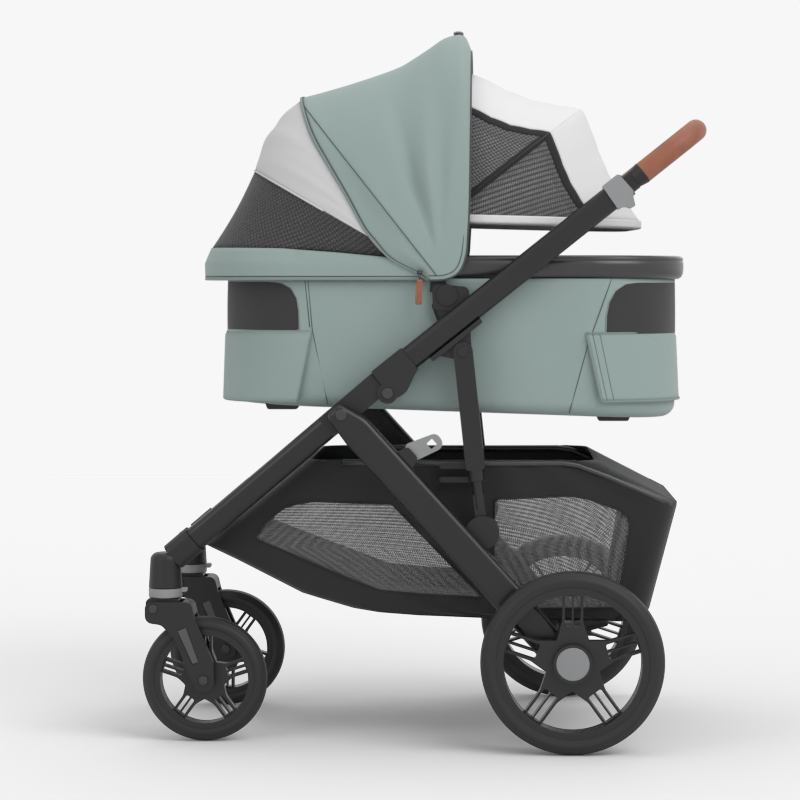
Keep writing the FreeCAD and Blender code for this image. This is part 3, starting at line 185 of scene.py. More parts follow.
def ringed(name, colour, rough, grooves, depth, metal=0.0):  # grooves as shares of the part's width
    material = rigid(name, colour, rough, grain=0.2, metal=metal)
    tree = material.node_tree
    place = node(tree, "ShaderNodeTexCoord").outputs["Generated"]
    middle = {"Location": (-0.5, 0, -0.5), "Scale": (1, 0, 1)}
    centre = node(tree, "ShaderNodeMapping", middle, {"Vector": place}).outputs["Vector"]
    radius = node(tree, "ShaderNodeVectorMath", {}, {0: centre}, operation="LENGTH").outputs["Value"]
    height = None
    for at, wide in grooves:
        groove = node(tree, "ShaderNodeMath", {1: at, 2: wide}, {0: radius}, operation="COMPARE").outputs[0]
        if height:
            groove = node(tree, "ShaderNodeMath", {}, {0: height, 1: groove}, operation="MAXIMUM").outputs[0]
        height = groove
    bump = relief(tree, height, depth, 0.0012, invert=True)
    tree.links.new(bump.outputs["Normal"], tree.nodes["Principled BSDF"].inputs["Normal"])
    return material


def leather(name, colour):  # grained, with a mottled tone
    material, tree, shader = newMaterial(name)
    place = node(tree, "ShaderNodeTexCoord").outputs["Object"]
    pores = node(tree, "ShaderNodeTexVoronoi", {"Scale": 620}, {"Vector": place}, feature="DISTANCE_TO_EDGE")
    cloud = node(tree, "ShaderNodeTexNoise", {"Scale": 46, "Detail": 8}, {"Vector": place}).outputs["Fac"]
    bump = relief(tree, pores.outputs["Distance"], 0.25, 0.0003)
    fill(tree, shader, {"Roughness": 0.52},
         {"Base Color": mixColour(tree, cloud, scaled(colour, 0.70), scaled(colour, 1.24)),
          "Normal": bump.outputs["Normal"]})
    return material


def greyOf(value, blue=0.0):
    return value, value, value + blue


sage = (0.292, 0.368, 0.352)
charcoal = (0.024, 0.0245, 0.025)
moulded = (0.018, 0.0182, 0.0188)
nets = {  # thread colour, the hole colour painted as the light seen through the holes, pitch in metres, the hole as a share of it, and how open the holes and the threads are
    "hood": {"thread": greyOf(0.026, 0.001), "gap": greyOf(0.085),
             "pitch": 0.0060, "hole": 0.36, "open": 0.34, "veil": 0.25},
    "shade": {"thread": greyOf(0.036, 0.001), "gap": greyOf(0.230),
              "pitch": 0.0056, "hole": 0.38, "open": 0.50, "veil": 0.25},
    "bag": {"thread": greyOf(0.060, 0.001), "gap": greyOf(0.45),
            "pitch": 0.0050, "hole": 0.54, "open": 0.86, "veil": 0.28, "moire": 0.0175},
    "tub": {"thread": greyOf(0.020, 0.001), "gap": greyOf(0.060),
            "pitch": 0.0030, "hole": 0.26, "open": 0.10, "veil": 0.25},
}
look = {
    "sage": woven("sageFabric", sage),
    "sageTrim": woven("sageTrim", scaled(sage, 0.80), thread=0.0016, weave=0.5),
    "sageDark": woven("sageThread", scaled(sage, 0.22), weave=0.2),
    "sageSeam": woven("sageSeam", scaled(sage, 0.48), weave=0.2),
    "tubSage": patched("tubSage", sage, 0.0011, nets["tub"]),
    "bag": patched("bagFabric", charcoal, 0.0012, nets["bag"], 0.5),
    "greyCloth": woven("greyCloth", (0.24, 0.245, 0.25)),
    "paleDark": woven("paleThread", (0.32, 0.33, 0.34), weave=0.2),
    "pale": woven("paleFabric", greyOf(0.745, 0.005), weave=0.2, sheen=0.1, fleck=0.03),
    # the rear panel's pale cloth, darker than the sunshade's: painted shade on the side turned away from the
    # key light
    "paleRearShaded": woven("paleGreyPaintedShade", greyOf(0.60, 0.005), weave=0.2, sheen=0.1, fleck=0.03),
    "black": woven("blackFabric", charcoal, weave=0.5, sheen=0.15, fleck=0.2),
    "lining": woven("liningFabric", (0.62, 0.63, 0.63), weave=0.3, fleck=0.04),
    "quilt": woven("quiltFabric", (0.80, 0.80, 0.78), thread=0.002, weave=0.4, fleck=0.03),
    "net": netting("hoodNet", nets["hood"]),
    "shadeNet": netting("shadeNet", nets["shade"]),
    "tube": rigid("anodisedTube", (0.0125, 0.0127, 0.0132), 0.27, 0.06, metal=0.10, coat=0.06, shine=0.42),
    "plastic": rigid("blackPlastic", (0.0165, 0.0167, 0.0172), 0.42, grain=0.25),
    "rimPlastic": ringed("rimPlastic", moulded, 0.34, [(0.455, 0.006)], 0.4),
    "grey": rigid("greyPlastic", (0.270, 0.274, 0.278), 0.42, grain=0.2),
    "cap": ringed("hubCap", (0.255, 0.258, 0.262), 0.34, [(0.40, 0.012), (0.10, 0.004)], 0.25, metal=0.4),
    "steel": rigid("darkSteel", (0.07, 0.07, 0.075), 0.35, metal=0.9),
    "rubber": ringed("tyreRubber", (0.020, 0.020, 0.0205), 0.50, [(0.418, 0.003), (0.474, 0.004)], 0.9),
    "rail": rigid("rimCover", (0.019, 0.019, 0.0195), 0.30, grain=0.4, shine=0.7),
    "leather": leather("tanLeather", (0.290, 0.098, 0.054)),
    "thread": rigid("tanThread", (0.50, 0.27, 0.15), 0.7),
    "panel": rigid("satinPanel", (0.085, 0.086, 0.088), 0.28, grain=0.1),
}
print("materials made")

sides = ("left", "right")


def pairs(*stems):
    return [f"{stem}_{side}" for stem in stems for side in sides]


finishes = {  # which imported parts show, and what they are made of
    "tube": [*pairs("upper_tube", "front_leg", "rear_leg", "strut"), "rear_axle_beam", "front_crossbar",
             "handle_tube"],
    "plastic": ["fold_housings", "seat_mounts", "leg_hubs", "swivel_sockets", "axle_housings", "leg_brackets",
                "basket_brackets", "handle_button", "brake_pedal", "bassinet_hubs", "bassinet_feet",
                "grip_collars", *pairs("swivel_knuckle", "fork_arm", "bassinet_button")],
    "rimPlastic": pairs("front_rim", "rear_rim"),
    "grey": ["storage_latch", *pairs("fold_slider", "swivel_lock")],
    "cap": pairs("hub_cap"),
    "steel": ["frame_pins", "canopy_front_bow", "canopy_rear_bow", "sunshade_middle_rib",
              "sunshade_front_rib", *pairs("front_axle")],
    "rubber": pairs("front_tyre", "rear_tyre"),
    "leather": ["handle_grip"],
    "rail": ["bassinet_rim"],
}
for finish, names in finishes.items():
    for one in names:
        data = nodes[one].data
        data.materials.clear()
        data.materials.append(look[finish])
        for face in data.polygons:
            face.use_smooth = True
        crease = nodes[one].modifiers.new("edges", "EDGE_SPLIT")
        crease.split_angle = math.radians(35)
print("parts dressed")


# mesh helpers

def build(name, points, faces, material, uvs, smooth=True):  # points in metres, one UV each
    mesh = bpy.data.meshes.new(name)
    mesh.from_pydata([tuple(p) for p in points], [], faces)
    mesh.update()
    layer = mesh.uv_layers.new(name="cloth")
    for loop in mesh.loops:
        layer.data[loop.index].uv = uvs[loop.vertex_index]
    made = bpy.data.objects.new(name, mesh)
    bpy.context.scene.collection.objects.link(made)
    mesh.materials.append(material)
    for face in mesh.polygons:
        face.use_smooth = smooth
    return made


def spread(count, low=0.0, high=1.0, bias=1.0):
    return [low + (high - low) * (i / (count - 1)) ** bias for i in range(count)]


def clamp(value):
    return max(0.0, min(1.0, value))


def bell(value, centre, width):  # 1 at the centre, falling off on both sides
    return math.exp(-((value - centre) / width) ** 2)


def noWindow(point, u, v):
    return -1.0


def sheetOf(name, at, us, vs, material, thickness=0.0016, offset=-1.0, inside=noWindow, flip=False):
    # a grid of at(u, v) with UVs in true lengths; inside marks windows, in metres and positive within one
    rows = [[Vector(at(u, v)) for v in vs] for u in us]
    across = [[0.0] * len(vs)]
    for before, row in zip(rows, rows[1:]):
        across.append([d + (b - a).length for d, a, b in zip(across[-1], before, row)])
    along = [0.0]
    for a, b in zip(rows[len(us) // 2], rows[len(us) // 2][1:]):
        along.append(along[-1] + (b - a).length)
    uvs = [(along[j], across[i][j]) for i in range(len(us)) for j in range(len(vs))]
    faces = []
    for i in range(len(us) - 1):
        for j in range(len(vs) - 1):
            a = i * len(vs) + j
            quad = (a, a + 1, a + len(vs) + 1, a + len(vs))
            faces.append(tuple(reversed(quad)) if flip else quad)
    made = build(name, [p for row in rows for p in row], faces, material, uvs)
    mark = made.data.attributes.new("window", "FLOAT", "POINT")
    mark.data.foreach_set("value", [inside(rows[i][j], us[i], vs[j])
                                    for i in range(len(us)) for j in range(len(vs))])
    if thickness:
        shell = made.modifiers.new("thickness", "SOLIDIFY")
        shell.thickness = thickness
        shell.offset = offset
    return made


def cord(name, path, radius, material, closed=False):  # piping, stitching or bar with a round section
    path = [Vector(p) for p in path]
    count, round8 = len(path), 8
    points, uvs, faces = [], [], []
    length = 0.0
    up = Vector((0.13, 0.27, 1)).normalized()
    for i, p in enumerate(path):
        before = path[i - 1] if i or closed else p
        after = path[(i + 1) % count] if i < count - 1 or closed else p
        way = (after - before).normalized()
        side = way.cross(up)
        if side.length < 0.1:
            side = way.cross(Vector((1, 0, 0)))
        side.normalize()
        top = side.cross(way).normalized()
        if i:
            length += (p - path[i - 1]).length
        for k in range(round8):
            a = 2 * math.pi * k / round8
            points.append(p + side * (radius * math.cos(a)) + top * (radius * math.sin(a)))
            uvs.append((length, radius * a))
    for i in range(count if closed else count - 1):
        for k in range(round8):
            a, b = i * round8 + k, i * round8 + (k + 1) % round8
            c, d = ((i + 1) % count) * round8 + (k + 1) % round8, ((i + 1) % count) * round8 + k
            faces.append((a, d, c, b))
    if not closed:
        faces.append(tuple(range(round8)))
        faces.append(tuple(reversed(range((count - 1) * round8, count * round8))))
    return build(name, points, faces, material, uvs)


def joined(name, objects):  # several meshes as one object, with their modifiers applied
    graph = bpy.context.evaluated_depsgraph_get()
    slots, parts = [], []
    for one in objects:
        data = bpy.data.meshes.new_from_object(one.evaluated_get(graph))
        data.transform(one.matrix_world)
        for material in data.materials:
            if material not in slots:
                slots.append(material)
        parts.append((data, [slots.index(m) for m in data.materials]))
    whole = bmesh.new()
    for data, remap in parts:
        before = len(whole.faces)
        whole.from_mesh(data)
        whole.faces.ensure_lookup_table()
        for face in whole.faces[before:]:
            face.material_index = remap[face.material_index]
    mesh = bpy.data.meshes.new(name)
    whole.to_mesh(mesh)
    whole.free()
    for material in slots:
        mesh.materials.append(material)
    made = bpy.data.objects.new(name, mesh)
    bpy.context.scene.collection.objects.link(made)
    for one in objects:
        bpy.data.objects.remove(one)
    for data, remap in parts:
        bpy.data.meshes.remove(data)
    return made


def ramp(value, table):  # straight lines through the points
    if value <= table[0][0]:
        return table[0][1]
    for (a, fa), (b, fb) in zip(table, table[1:]):
        if value <= b:
            return fa + (fb - fa) * (value - a) / (b - a)
    return table[-1][1]


def bend(value, table):  # a smooth curve through the points, its slopes taken from the neighbours
    xs = [x for x, y in table]
    ys = [y for x, y in table]
    if value <= xs[0]:
        return ys[0]
    if value >= xs[-1]:
        return ys[-1]
    k = max(i for i in range(len(xs) - 1) if xs[i] <= value)

    def slope(i):
        low, high = max(i - 1, 0), min(i + 1, len(xs) - 1)
        return (ys[high] - ys[low]) / (xs[high] - xs[low])

    h = xs[k + 1] - xs[k]
    t = (value - xs[k]) / h
    return (ys[k] * (2 * t ** 3 - 3 * t ** 2 + 1) + ys[k + 1] * (3 * t ** 2 - 2 * t ** 3)
            + slope(k) * h * (t ** 3 - 2 * t ** 2 + t) + slope(k + 1) * h * (t ** 3 - t ** 2))


archPower = 3.2  # squareness of the hood's arches


def archAt(t):  # across and up for t in 0..1, as shares of the half width and the radius
    angle = math.pi * t
    c, s = math.cos(angle), max(math.sin(angle), 0.0)
    return math.copysign(abs(c) ** (2 / archPower), -c), s ** (2 / archPower)


def archShare(up):  # the t on the left side at this share of the arch's height
    return math.asin(up ** (archPower / 2)) / math.pi


def polar(pivot, degrees, radius, y):
    a = math.radians(degrees)
    return Vector((pivot.x + radius * math.cos(a), y, pivot.z + radius * math.sin(a)))


def polygonDepth(x, z, corners):  # distance inside the outline, negative outside
    best, odd = 1e9, False
    for (ax, az), (bx, bz) in zip(corners, corners[1:] + corners[:1]):
        dx, dz = bx - ax, bz - az
        t = clamp(((x - ax) * dx + (z - az) * dz) / (dx * dx + dz * dz))
        best = min(best, math.hypot(x - ax - t * dx, z - az - t * dz))
        if (az > z) != (bz > z) and x < ax + (z - az) / (bz - az) * dx:
            odd = not odd
    return best if odd else -best


# hood

hood = {
    "half": 0.2262, "rearHalf": 0.2178,
    "frontX": [(0.0, 0.010), (0.003, 0.0262), (0.010, 0.0392), (0.03, 0.0545), (0.055, 0.0638),
               (0.105, 0.0708), (0.17, 0.073), (0.3, 0.0755), (0.6, 0.077), (1.0, 0.0775)],
    "frontZ": [(0.0, 0.7505), (0.003, 0.7508), (0.010, 0.7527), (0.03, 0.7596), (0.055, 0.7708),
               (0.105, 0.7936), (0.17, 0.8205), (1.0, 1.132)],
    "rearX": [(0.0, 0.010), (0.03, -0.001), (0.08, -0.0073), (0.227, -0.0533), (0.34, -0.0806),
              (0.39, -0.0934), (0.54, -0.124), (0.69, -0.1552), (0.83, -0.1819), (0.99, -0.2046),
              (1.0, -0.2040)],
    "rearZ": [(0.0, 0.7505), (0.03, 0.7575), (0.08, 0.7626), (0.227, 0.7872), (0.34, 0.8178),
              (0.39, 0.8333), (0.54, 0.8886), (0.69, 0.9413), (0.83, 0.9889), (0.99, 1.0515),
              (1.0, 1.0556)],
    "crest": [(0.0, 0.0), (0.003, 0.0125), (0.010, 0.0235), (0.028, 0.0305), (0.05, 0.0328),
              (0.129, 0.0326), (0.229, 0.0227), (0.329, 0.0132), (0.411, 0.0066), (0.549, 0.0028),
              (0.702, 0.0006), (0.854, -0.0003), (1.0, 0.0)],
    "seamAngle": 128.3, "seamOut": 1.0045, "seamUp": 0.0004,
    # heights with their widths, the gusset with its place between them
    "overBow": (0.0030, 4.5), "rolled": (0.004, 0.008), "gusset": (0.0006, 0.88, 0.06),
    "valleys": [(1.0, 96.5, 7.5, 3.4), (0.5, 84, 4, 3.6)],  # share, then angle, lean and width in degrees
    "ridges": [(1.0, 89.5, 5.5, 3.0)], "valley": 0.0135, "ridge": 0.0050, "soft": 0.0014,
    "turnFrom": 0.76, "highFrom": 0.08, "highOver": 0.4, "frontFade": 0.06, "rearFade": 0.1,
    "hemAim": (0.012, 0.80), "hemIn": 0.0075, "hemOut": 1.0026, "hemTop": 0.30,
}
chord = Vector((-0.263, 0, 0.965))


def angleAt(p):  # degrees round the canopy pivot
    return math.degrees(math.atan2(p.z - canopyPivot.z, p.x - canopyPivot.x))


def hoodRear(t, lift=0.0):
    across, up = archAt(t)
    y = across * (hood["rearHalf"] + lift)
    return Vector((bend(up, hood["rearX"]), y, bend(up, hood["rearZ"]) + lift * up))


def hoodFront(u, t):
    across, up = archAt(t)
    front = Vector((bend(up, hood["frontX"]), across * hood["half"], bend(up, hood["frontZ"])))
    p = front.lerp(hoodRear(t), u) + chord * (bend(u, hood["crest"]) * up)
    turned = max(0.0, (u - hood["turnFrom"]) / (1 - hood["turnFrom"]))
    p.y = across * (hood["half"] + (hood["rearHalf"] - hood["half"]) * turned * turned * (3 - 2 * turned))
    angle = angleAt(p)
    high = clamp((up - hood["highFrom"]) / hood["highOver"])
    edge = min(1.0, u / hood["frontFade"]) * min(1.0, (1 - u) / hood["rearFade"])
    valley, ridge = (sum(share * bell(angle, at + lean * high, wide) for share, at, lean, wide in hood[kind])
                     for kind in ("valleys", "ridges"))
    folds = (hood["ridge"] * ridge - hood["valley"] * valley) * (0.3 + 0.7 * bell(up, 0.42, 0.26))
    soft = hood["soft"] * math.sin(0.21 * angle + 4 * up)
    roof = math.sin(math.pi * up) ** 0.7 if up < 1 else 0.0
    deep, at, wide = hood["gusset"]
    gusset = deep * bell(u, at, wide) * clamp((up - 0.3) / 0.3)
    push = (soft + folds - gusset) * edge * high * roof
    rolled = -hood["rolled"][0] * bell(u, 0.0, hood["rolled"][1]) * high * abs(across)
    over, wide = hood["overBow"]
    overBow = over * bell(angle, hood["seamAngle"], wide) * high * min(1.0, (1 - u) / 0.05)
    p.y += math.copysign(1, across) * (push + overBow + rolled)
    return p


hoodSteps = spread(10, 0.0, 0.06, 1.5) + spread(34, 0.075, 1.0)
lowArch = [archShare(up) for up in [0.0, 0.003, 0.007, 0.012, 0.019, 0.028, 0.038, 0.05, 0.065, 0.082, 0.103,
                                    0.13] + spread(20, 0.16, 0.80)]
archSteps = lowArch + spread(36, archShare(0.82), 0.5)
archSteps += [1 - t for t in reversed(archSteps[:-1])]
panels = [sheetOf("hoodCloth", hoodFront, hoodSteps, archSteps, look["sage"], 0.0020)]
panels.append(cord("rearEdge", [hoodRear(t, 0.0002) for t in archSteps], 0.0022, look["sageTrim"]))
shadow = [hoodRear(t, 0.0016) + Vector((0.0022, 0, 0)) for t in archSteps[4:-4]]
panels.append(cord("rearShadow", shadow, 0.0008, look["sageDark"]))
panels.append(cord("frontEdge", [hoodFront(0.0, t) for t in archSteps], 0.0016, look["sageDark"]))


def seamPoint(t):  # where the panel crosses the line of the rear bow
    low, high = 0.2, 1.0
    for step in range(24):
        u = (low + high) / 2
        if angleAt(hoodFront(u, t)) < hood["seamAngle"]:
            low = u
        else:
            high = u
    return hoodFront(low, t)


seam = [seamPoint(t) for t in archSteps[2:-2]]
for p in seam:
    p.y *= hood["seamOut"]
    p.z += hood["seamUp"]
panels.append(cord("bowSeam", seam, 0.0006, look["sageDark"]))
lowSteps = [t for t in archSteps if archAt(t)[1] < hood["hemTop"]]
for side in (0, 1):
    hem = []
    for t in lowSteps:
        if (t > 0.5) == bool(side):
            p = hoodFront(0.0, t)
            toward = Vector((hood["hemAim"][0], p.y, hood["hemAim"][1]))
            q = p + (toward - p).normalized() * hood["hemIn"]
            q.y = p.y * hood["hemOut"]
            hem.append(q)
    panels.append(cord("hemStitch", hem, 0.0006, look["sageDark"]))

carry = {"x": 0.0555, "z": 1.1600, "half": 0.0700, "width": 0.0140, "rise": 0.0052, "steps": 24}
strap = []
for i in range(carry["steps"] + 1):
    f = i / carry["steps"]
    y = -carry["half"] + 2 * carry["half"] * f
    strap.append(Vector((carry["x"], y, carry["z"] + carry["rise"] * math.sin(math.pi * f) ** 0.6 - 0.0025)))


def strapSheet(u, v):
    p = strap[min(carry["steps"], int(v * carry["steps"] + 0.5))]
    a = math.pi * u
    return p + Vector((-math.cos(a) * carry["width"] / 2, 0, 0.0022 * math.sin(a)))


panels.append(sheetOf("carryLoop", strapSheet, spread(7), spread(len(strap)), look["greyCloth"], 0.0016))
hoodPanel = joined("hoodPanel", panels)
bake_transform(hoodPanel)
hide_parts("canopy_fabric")

rear = {"angle": 150.2, "radius": 0.3546, "full": 0.0072, "fold": 0.0016, "narrow": 0.995, "sag": 0.003}


def rearRib(t, grow=0.0):
    across, up = archAt(t)
    half = hood["rearHalf"] * rear["narrow"] + grow
    return polar(canopyPivot, rear["angle"], (rear["radius"] + grow) * up, across * half)


def palePanel(u, t):
    a, b = hoodRear(t, -0.0022), rearRib(t)
    across, up = archAt(t)
    ra, rb = (math.hypot(p.x - canopyPivot.x, p.z - canopyPivot.z) for p in (a, b))
    aa, ab = (math.atan2(p.z - canopyPivot.z, p.x - canopyPivot.x) for p in (a, b))
    ab = max(ab, aa)
    angle, radius = aa + (ab - aa) * u, ra + (rb - ra) * u
    fold = rear["fold"] * math.sin(7 * math.degrees(angle) / 10 + 9 * abs(across)) * math.sin(math.pi * u)
    radius += (math.sin(math.pi * u) * rear["full"] + fold) * up
    y = a.y + (b.y - a.y) * u
    return Vector((canopyPivot.x + radius * math.cos(angle), y + math.copysign(fold, across) * 0.8,
                   canopyPivot.z + radius * math.sin(angle)))


band = {"front": -0.3635, "back": 0.430, "half": 0.2120, "corner": 0.157, "low": 0.7525,  # stops at x = 0
        "top": [(-0.36, 0.8035), (-0.23, 0.8015), (-0.14, 0.795), (-0.055, 0.787), (0.0, 0.778),
                (0.03, 0.768)],
        "lean": 0.010, "leanFrom": 0.778, "leanOver": 0.026, "sideLean": 0.45,
        "piping": [(0.7532, 0.0026, 0.0010, "sageTrim"), (0.7570, 0.0011, 0.0022, "sageDark"),
                   (0.7640, 0.0012, 0.0018, "sageTrim"), (0.7612, 0.0007, 0.0020, "sageSeam")]}


def planAt(shape, d, side, grow):  # rounded outline in plan, d metres round from the middle of the head end
    front, back, corner = shape["front"], shape["back"], shape["corner"]
    flat, arc, straight = shape["half"] - corner, corner * math.pi / 2, back - front - 2 * corner
    r = corner + grow
    if d < flat:
        return front - grow, side * d
    if d < flat + arc:
        a = (d - flat) / corner
        return front + corner - r * math.cos(a), side * (flat + r * math.sin(a))
    d -= flat + arc
    if d < straight:
        return front + corner + d, side * (shape["half"] + grow)
    d -= straight
    if d < arc:
        a = d / corner
        return back - corner + r * math.sin(a), side * (flat + r * math.cos(a))
    return back + grow, side * (flat - d + arc)


def bandPoint(s, grow=0.0):  # s in -1..1 from the left side round to the right
    arc = band["corner"] * math.pi / 2
    total = arc + band["half"] - 2 * band["corner"] - band["front"]
    return planAt(band, abs(s) * total, 1 if s > 0 else -1, grow)


def netPanel(u, t):
    s = 2 * t - 1
    s = math.copysign(abs(s) ** 1.12, s) * 0.99
    x, y = bandPoint(s, -0.009)
    low = Vector((x, y, ramp(x, band["top"]) + 0.001))
    across, up = archAt(t)
    p = rearRib(t).lerp(low, u)
    sag = math.sin(math.pi * u) * rear["sag"] * up
    return p + Vector((0.8, -0.3 * across, -0.5)) * sag


rearSteps = [0.012 + 0.976 * s for s in spread(105)]
# the rear panel and its rib piping use the darker pale cloth, whose lower grey is painted shade
panels = [sheetOf("paleRearShaded", palePanel, spread(16), rearSteps, look["paleRearShaded"], 0.0014),
          sheetOf("netRear", netPanel, spread(14), rearSteps, look["net"], 0.0006),
          cord("ribPiping", [rearRib(t, 0.0006) for t in rearSteps[14:-14]], 0.0016, look["paleRearShaded"]),
          cord("ribShadow", [rearRib(t, -0.0030) for t in rearSteps[8:-8]], 0.0022, look["black"])]
rearHood = joined("rearHood", panels)
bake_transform(rearHood)
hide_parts("canopy_rear_fabric")
print("hood made")

# band, zip and pull


def bandSheet(u, v):
    x, y = bandPoint(-1 + 2 * v)
    z = band["low"] + (ramp(x, band["top"]) - band["low"]) * u
    lean = -band["lean"] * max(0.0, (z - band["leanFrom"]) / band["leanOver"])
    lean *= 1 if x < -0.2 else band["sideLean"]
    x, y = bandPoint(-1 + 2 * v, lean + 0.0010 * math.sin(3.1 * u))
    return Vector((x, y, z))


panels = [sheetOf("bandCloth", bandSheet, spread(9), spread(161), look["sage"], 0.0024)]
ring = spread(161, -1, 1)
for z, radius, grow, colour in band["piping"]:
    panels.append(cord("bandPiping", [(*bandPoint(s, grow), z) for s in ring], radius, look[colour]))
panels.append(cord("bandTopEdge", [bandSheet(1.0, v) for v in spread(161)], 0.0011, look["sageSeam"]))
hoodBand = joined("hoodBand", panels)
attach(hoodBand, "bassinet")
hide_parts("canopy_base")

tag = {"x": -0.0042, "y": -0.2315, "top": 0.752, "length": 0.040, "half": 0.0052, "thick": 0.0024}


def tagSheet(u, v):
    end = min(1.0, 0.80 + 8 * min(v, 1 - v))
    return Vector((tag["x"] - 0.002 * v + (2 * u - 1) * tag["half"] * end,
                   tag["y"] - 0.0012 * math.sin(math.pi * v), tag["top"] - tag["length"] * v))


panels = [sheetOf("tagLeather", tagSheet, spread(3), spread(15), look["leather"], tag["thick"], 0.0)]
edge = [tagSheet(u, v) - Vector((0, 0.0014, 0)) for u, low, high in ((0.14, 0.06, 0.94), (0.86, 0.94, 0.06))
        for v in spread(10, low, high)]
panels.append(cord("tagStitch", edge, 0.0003, look["thread"], True))
slider = [(tag["x"] - 0.004, -0.2275, 0.7640), (tag["x"] + 0.004, -0.2280, 0.7625)]
panels.append(cord("zipSlider", slider, 0.0034, look["steel"]))
ringPath = [(tag["x"], -0.2300, 0.7630), (tag["x"], tag["y"], 0.7500)]
panels.append(cord("zipRing", ringPath, 0.0014, look["steel"]))
zipPull = joined("zipPull", panels)
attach(zipPull, "bassinet")
print("band made")

# sunshade

shade = {
    "half": 0.1985, "low": -1.5, "mid": 38.2, "top": 79.5, "shoulder": 0.752, "border": 0.045,
    "hemDeep": 0.0115,
    "radius": [(-1.5, 0.3265), (6.2, 0.2985), (14.5, 0.2825), (23.1, 0.2790), (32.0, 0.2850),
               (37.6, 0.2915), (38.7, 0.2905), (45.0, 0.2640), (53.5, 0.2430), (64.3, 0.2355),
               (75.7, 0.2415), (79.5, 0.2440)],
}


def shadePoint(angle, t, grow=0.0):
    across, up = archAt(t)
    radius = ramp(angle, shade["radius"]) + grow
    return polar(shadePivot, angle, radius * up, across * (shade["half"] + grow))


def shadeSheet(u, t):
    return shadePoint(shade["top"] + (shade["low"] - shade["top"]) * u, t)


def borderSheet(u, t):
    return shadePoint(shade["top"] + (shade["low"] - shade["top"]) * u, t, 0.0006)


shoulder = archShare(shade["shoulder"])
foot = archShare(0.10)
fan = sorted(spread(20, 0.0, 0.51) + spread(20, 0.5096, 1.0))
panels = [sheetOf("shadeRoof", shadeSheet, fan, spread(61, shoulder, 1 - shoulder), look["pale"], 0.0012)]
for low, high in ((foot, shoulder), (1 - shoulder, 1 - foot)):
    panels.append(sheetOf("shadeNet", shadeSheet, fan, spread(19, low, high), look["shadeNet"], 0.0006))
borderFoot = archShare(shade["shoulder"] - shade["border"])
for low, high in ((borderFoot, shoulder), (1 - shoulder, 1 - borderFoot)):
    panels.append(sheetOf("shadeBorder", borderSheet, fan, spread(4, low, high), look["black"], 0.0008))


def ribStrip(w, t):
    across, up = archAt(t)
    reach = max(ramp(shade["mid"], shade["radius"]) * up, 0.02)
    return shadePoint(shade["mid"] + math.degrees(w / reach), t, 0.0010)


for low, high in ((foot, shoulder), (1 - shoulder, 1 - foot)):
    panels.append(sheetOf("ribStrip", ribStrip, (-0.0062, -0.002, 0.002, 0.0062), spread(19, low, high),
                          look["black"], 0.0008))
    outward = Vector((0, 0.0006 if low > 0.5 else -0.0006, 0))
    ribLine = [ribStrip(0.0, t) + outward for t in spread(30, low, high)]
    panels.append(cord("ribSeam", ribLine, 0.0007, look["steel"]))
foldLine = [shadePoint(shade["mid"], t, 0.0004) for t in spread(61, shoulder, 1 - shoulder)]
panels.append(cord("ribFold", foldLine, 0.0008, look["paleDark"]))


def lowBand(w, t):
    inward = max(0.0, w - shade["hemDeep"])
    drop = min(w, shade["hemDeep"]) + 0.15 * inward
    p = shadePoint(shade["low"], t, 0.0012)
    middle = Vector((shadePivot.x + 0.10, 0, p.z))
    return p + Vector((0, 0, 0.004 - drop)) + (middle - p).normalized() * inward


ends = spread(91, archShare(0.07), 1 - archShare(0.07))
panels.append(sheetOf("lowBand", lowBand, (0.0, 0.003, 0.006, 0.009, 0.0115, 0.013, 0.020, 0.030), ends,
                      look["pale"], 0.0012))
sunshade = joined("sunshadeCloth", panels)
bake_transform(sunshade)
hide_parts("sunshade_fabric")
print("sunshade made")

# bassinet

tub = {"front": -0.3265, "back": 0.4135, "half": 0.200, "corner": 0.150, "top": 0.7535,
       "bottomFront": 0.553, "bottomBack": 0.528, "edge": 0.020, "lining": 0.011, "floor": 0.567,
       "ripple": 0.0012, "paneFrom": 0.64, "noPane": -0.0856,
       "seams": [[(-0.1855, 0.7535), (-0.1785, 0.671), (-0.1535, 0.5495)],
                 [(-0.1905, 0.7535), (-0.1825, 0.675)],
                 [(0.3045, 0.7535), (0.2665, 0.647), (0.2365, 0.5360)]]}
tubLength = tub["back"] - tub["front"]
tubFlat = tub["half"] - tub["corner"]
tubArc = tub["corner"] * math.pi / 2
tubReach = 2 * (tubFlat + tubArc) + tubLength - 2 * tub["corner"]


def tubPlan(s, grow=0.0):  # s runs 0..1 along the left side from head to foot, -1..0 on the right
    return planAt(tub, abs(s) * tubReach, -1 if s >= 0 else 1, grow)


def tubBottom(x):
    return tub["bottomFront"] + (tub["bottomBack"] - tub["bottomFront"]) * (x - tub["front"]) / tubLength


headWindow = [(-0.420, 0.670), (-0.1995, 0.670), (-0.2000, 0.700), (-0.2035, 0.722), (-0.2125, 0.738),
              (-0.2290, 0.7465), (-0.250, 0.7485), (-0.420, 0.7485)]
footWindow = [(0.500, 0.664), (0.2955, 0.664), (0.2960, 0.694), (0.3005, 0.716), (0.3110, 0.734),
              (0.3280, 0.7445), (0.350, 0.747), (0.500, 0.747)]


def wallX(s):  # distance along the side, unrolled round both ends, on the scale of X
    return tub["front"] + tub["corner"] - (tubFlat + tubArc) + abs(s) * tubReach


def windowAt(p, u, v):
    if p.z <= tub["paneFrom"]:
        return tub["noPane"]
    x = wallX(v)
    head = [(a if a > -0.4 else -0.9, b) for a, b in headWindow]
    end = [(a if a < 0.49 else 1.2, b) for a, b in footWindow]
    return max(polygonDepth(x, p.z, head), polygonDepth(x, p.z, end))


